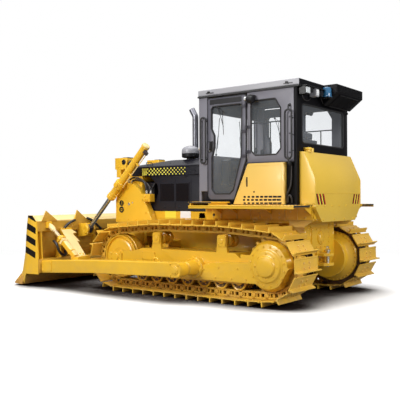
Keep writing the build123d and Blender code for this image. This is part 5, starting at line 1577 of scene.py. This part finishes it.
seat_lo, seat_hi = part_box("operator_seat")
x0 = X0
base = cushion("seat_cushion", (x0 + 0.150, -0.215, 1.672), (x0 + 0.590, 0.215, 1.762), 0.030,
               [x0 + 0.150 + 0.110 * k for k in (1, 2, 3)], 0, 2)
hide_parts("operator_seat")
back = cushion("seat_back", (x0 + 0.090, -0.205, 1.800), (x0 + 0.178, 0.205, 2.230), 0.030,
               [1.800 + 0.105 * k for k in (1, 2, 3)], 2, 0, shear=-0.135)
rest_pad = cushion("seat_headrest", (x0 + 0.035, -0.125, 2.235), (x0 + 0.100, 0.125, 2.330), 0.024, [], 2, 0, cap=0.010)
for s in (1, -1):
    bolster = cushion("seat_bolster_" + ("left" if s > 0 else "right"), (x0 + 0.170, min(s * 0.208, s * 0.246), 1.690), (x0 + 0.570, max(s * 0.208, s * 0.246), 1.778), 0.016,
                      [], 0, 2, cap=0.007)
d = Shape()
# seat shell, slides, suspension bellows and the backrest frame
d.side([(110, 1641), (600, 1641), (604, 1650), (604, 1664), (596, 1670), (150, 1670), (128, 1700), (90, 1780), (70, 1780), (88, 1700)], -236, 236, 0)
d.side([(60, 1775), (84, 1775), (24, 2225), (14, 2225), (14, 2215)], -214, 214, 0)
for y in (-70, 70):
    d.rod(at(30, y, 2215), at(34, y, 2260), 7, 10, 1)
for s in (1, -1):
    d.turn(at(100, s * 240, 1740), (0, s, 0), [(-12, 0), (-12, 42), (8, 40), (12, 34), (12, 0)], 28, 0)
    d.tube([at(470, s * 242, 1656), at(560, s * 246, 1650), at(640, s * 246, 1668)], 6, 8, 1)
piece(d, "seat_shell", "machine", ["console", "dark_steel"], 2, 2, 30, ())

# ================================================================ studio
def stage_floor():
    """Pale floor: white to the eye, and a softer grey for the light it throws back under the machine."""
    n = Nodes("studio_floor")
    n.set(rough=0.8, spec=0.0)
    n.bsdf.inputs["Emission Color"].default_value = (1, 1, 1, 1)
    # deep, tight shade where something stands close over the floor
    near = n.add("ShaderNodeAmbientOcclusion", samples=12)
    near.inputs["Distance"].default_value = 1.1
    open_ = n.span(near.outputs["AO"], 0.47, 0.88, 0.0, 1.0)
    n.join(n.sum("MULTIPLY", open_, FLOOR_GLOW), n.bsdf.inputs["Emission Strength"])
    pale = n.blend(n.span(n.noise(0.6, 2), 0.3, 0.7, 0, 1), (0.92, 0.92, 0.92), (0.94, 0.94, 0.94))
    n.join(n.blend(open_, (0.02, 0.015, 0.014), pale), n.bsdf.inputs["Base Color"])
    dull = n.add("ShaderNodeBsdfDiffuse")
    dull.inputs[0].default_value = (FLOOR_BOUNCE, FLOOR_BOUNCE, FLOOR_BOUNCE * 0.97, 1)
    rays = n.add("ShaderNodeLightPath")
    mix = n.add("ShaderNodeMixShader")
    n.join(rays.outputs["Is Camera Ray"], mix.inputs[0])
    n.join(dull.outputs[0], mix.inputs[1])
    n.join(n.bsdf.outputs[0], mix.inputs[2])
    # far from the machine the floor runs into the backdrop
    xyz = n.add("ShaderNodeVectorMath", operation="LENGTH")
    n.join(n.coord, xyz.inputs[0])
    fade = n.span(xyz.outputs["Value"], 4.2, 9.0, 0.0, 1.0)
    glow = n.add("ShaderNodeEmission")
    away = n.add("ShaderNodeMixShader")
    n.join(n.sum("MULTIPLY", fade, rays.outputs["Is Camera Ray"]), away.inputs[0])
    n.join(mix.outputs[0], away.inputs[1])
    n.join(glow.outputs[0], away.inputs[2])
    n.join(away.outputs[0], n.out.inputs["Surface"])
    mesh = bpy.data.meshes.new("floor")
    r = 60
    mesh.from_pydata([(-r, -r, -0.001), (r, -r, -0.001), (r, r, -0.001), (-r, r, -0.001)], [], [(0, 1, 2, 3)])
    mesh.materials.append(M["studio_floor"])
    ob = bpy.data.objects.new("studio_floor", mesh)
    scene.collection.objects.link(ob)


FLOOR_GLOW, FLOOR_BOUNCE, SKY, WALL = 0.05, 0.20, 0.95, 0.10
stage_floor()
world = bpy.data.worlds.new("studio")
scene.world = world
world.use_nodes = True
wt = world.node_tree
soft, bright = wt.nodes["Background"], wt.nodes.new("ShaderNodeBackground")
soft.inputs[0].default_value = (1, 1, 1, 1)
soft.inputs[1].default_value = SKY
bright.inputs[0].default_value = (1, 1, 1, 1)
bright.inputs[1].default_value = 1.0
seen, pick = wt.nodes.new("ShaderNodeLightPath"), wt.nodes.new("ShaderNodeMixShader")
wt.links.new(seen.outputs["Is Camera Ray"], pick.inputs[0])
wt.links.new(soft.outputs[0], pick.inputs[1])
wt.links.new(bright.outputs[0], pick.inputs[2])
wt.links.new(pick.outputs[0], wt.nodes["World Output"].inputs["Surface"])
# the tent overhead is brighter than its walls
place, split, ramp = wt.nodes.new("ShaderNodeTexCoord"), wt.nodes.new("ShaderNodeSeparateXYZ"), wt.nodes.new("ShaderNodeMapRange")
wt.links.new(place.outputs["Generated"], split.inputs[0])
wt.links.new(split.outputs[2], ramp.inputs[0])
for i, v in enumerate((0.05, 0.95, WALL, SKY)):
    ramp.inputs[i + 1].default_value = v
wt.links.new(ramp.outputs[0], soft.inputs[1])


def area(name, place, target, size, power, color=(1, 1, 1)):
    light = bpy.data.lights.new(name, "AREA")
    light.shape, light.size, light.energy, light.color = "SQUARE", size, power, color
    ob = bpy.data.objects.new(name, light)
    scene.collection.objects.link(ob)
    ob.location = place
    ob.rotation_euler = (Vector(target) - Vector(place)).to_track_quat("-Z", "Y").to_euler()
    return ob


area("key", (1.2, 9.6, 5.4), (0, 0.5, 0.9), 4.0, 760, (1, 0.985, 0.96))
area("top", (-1.0, 0.5, 9.0), (0, 0, 1.0), 6.0, 560)
area("rear_fill", (-9.5, 1.5, 3.6), (-1.5, 0, 1.1), 4.0, 390)
scene.view_settings.view_transform = "Standard"
scene.view_settings.look = "None"
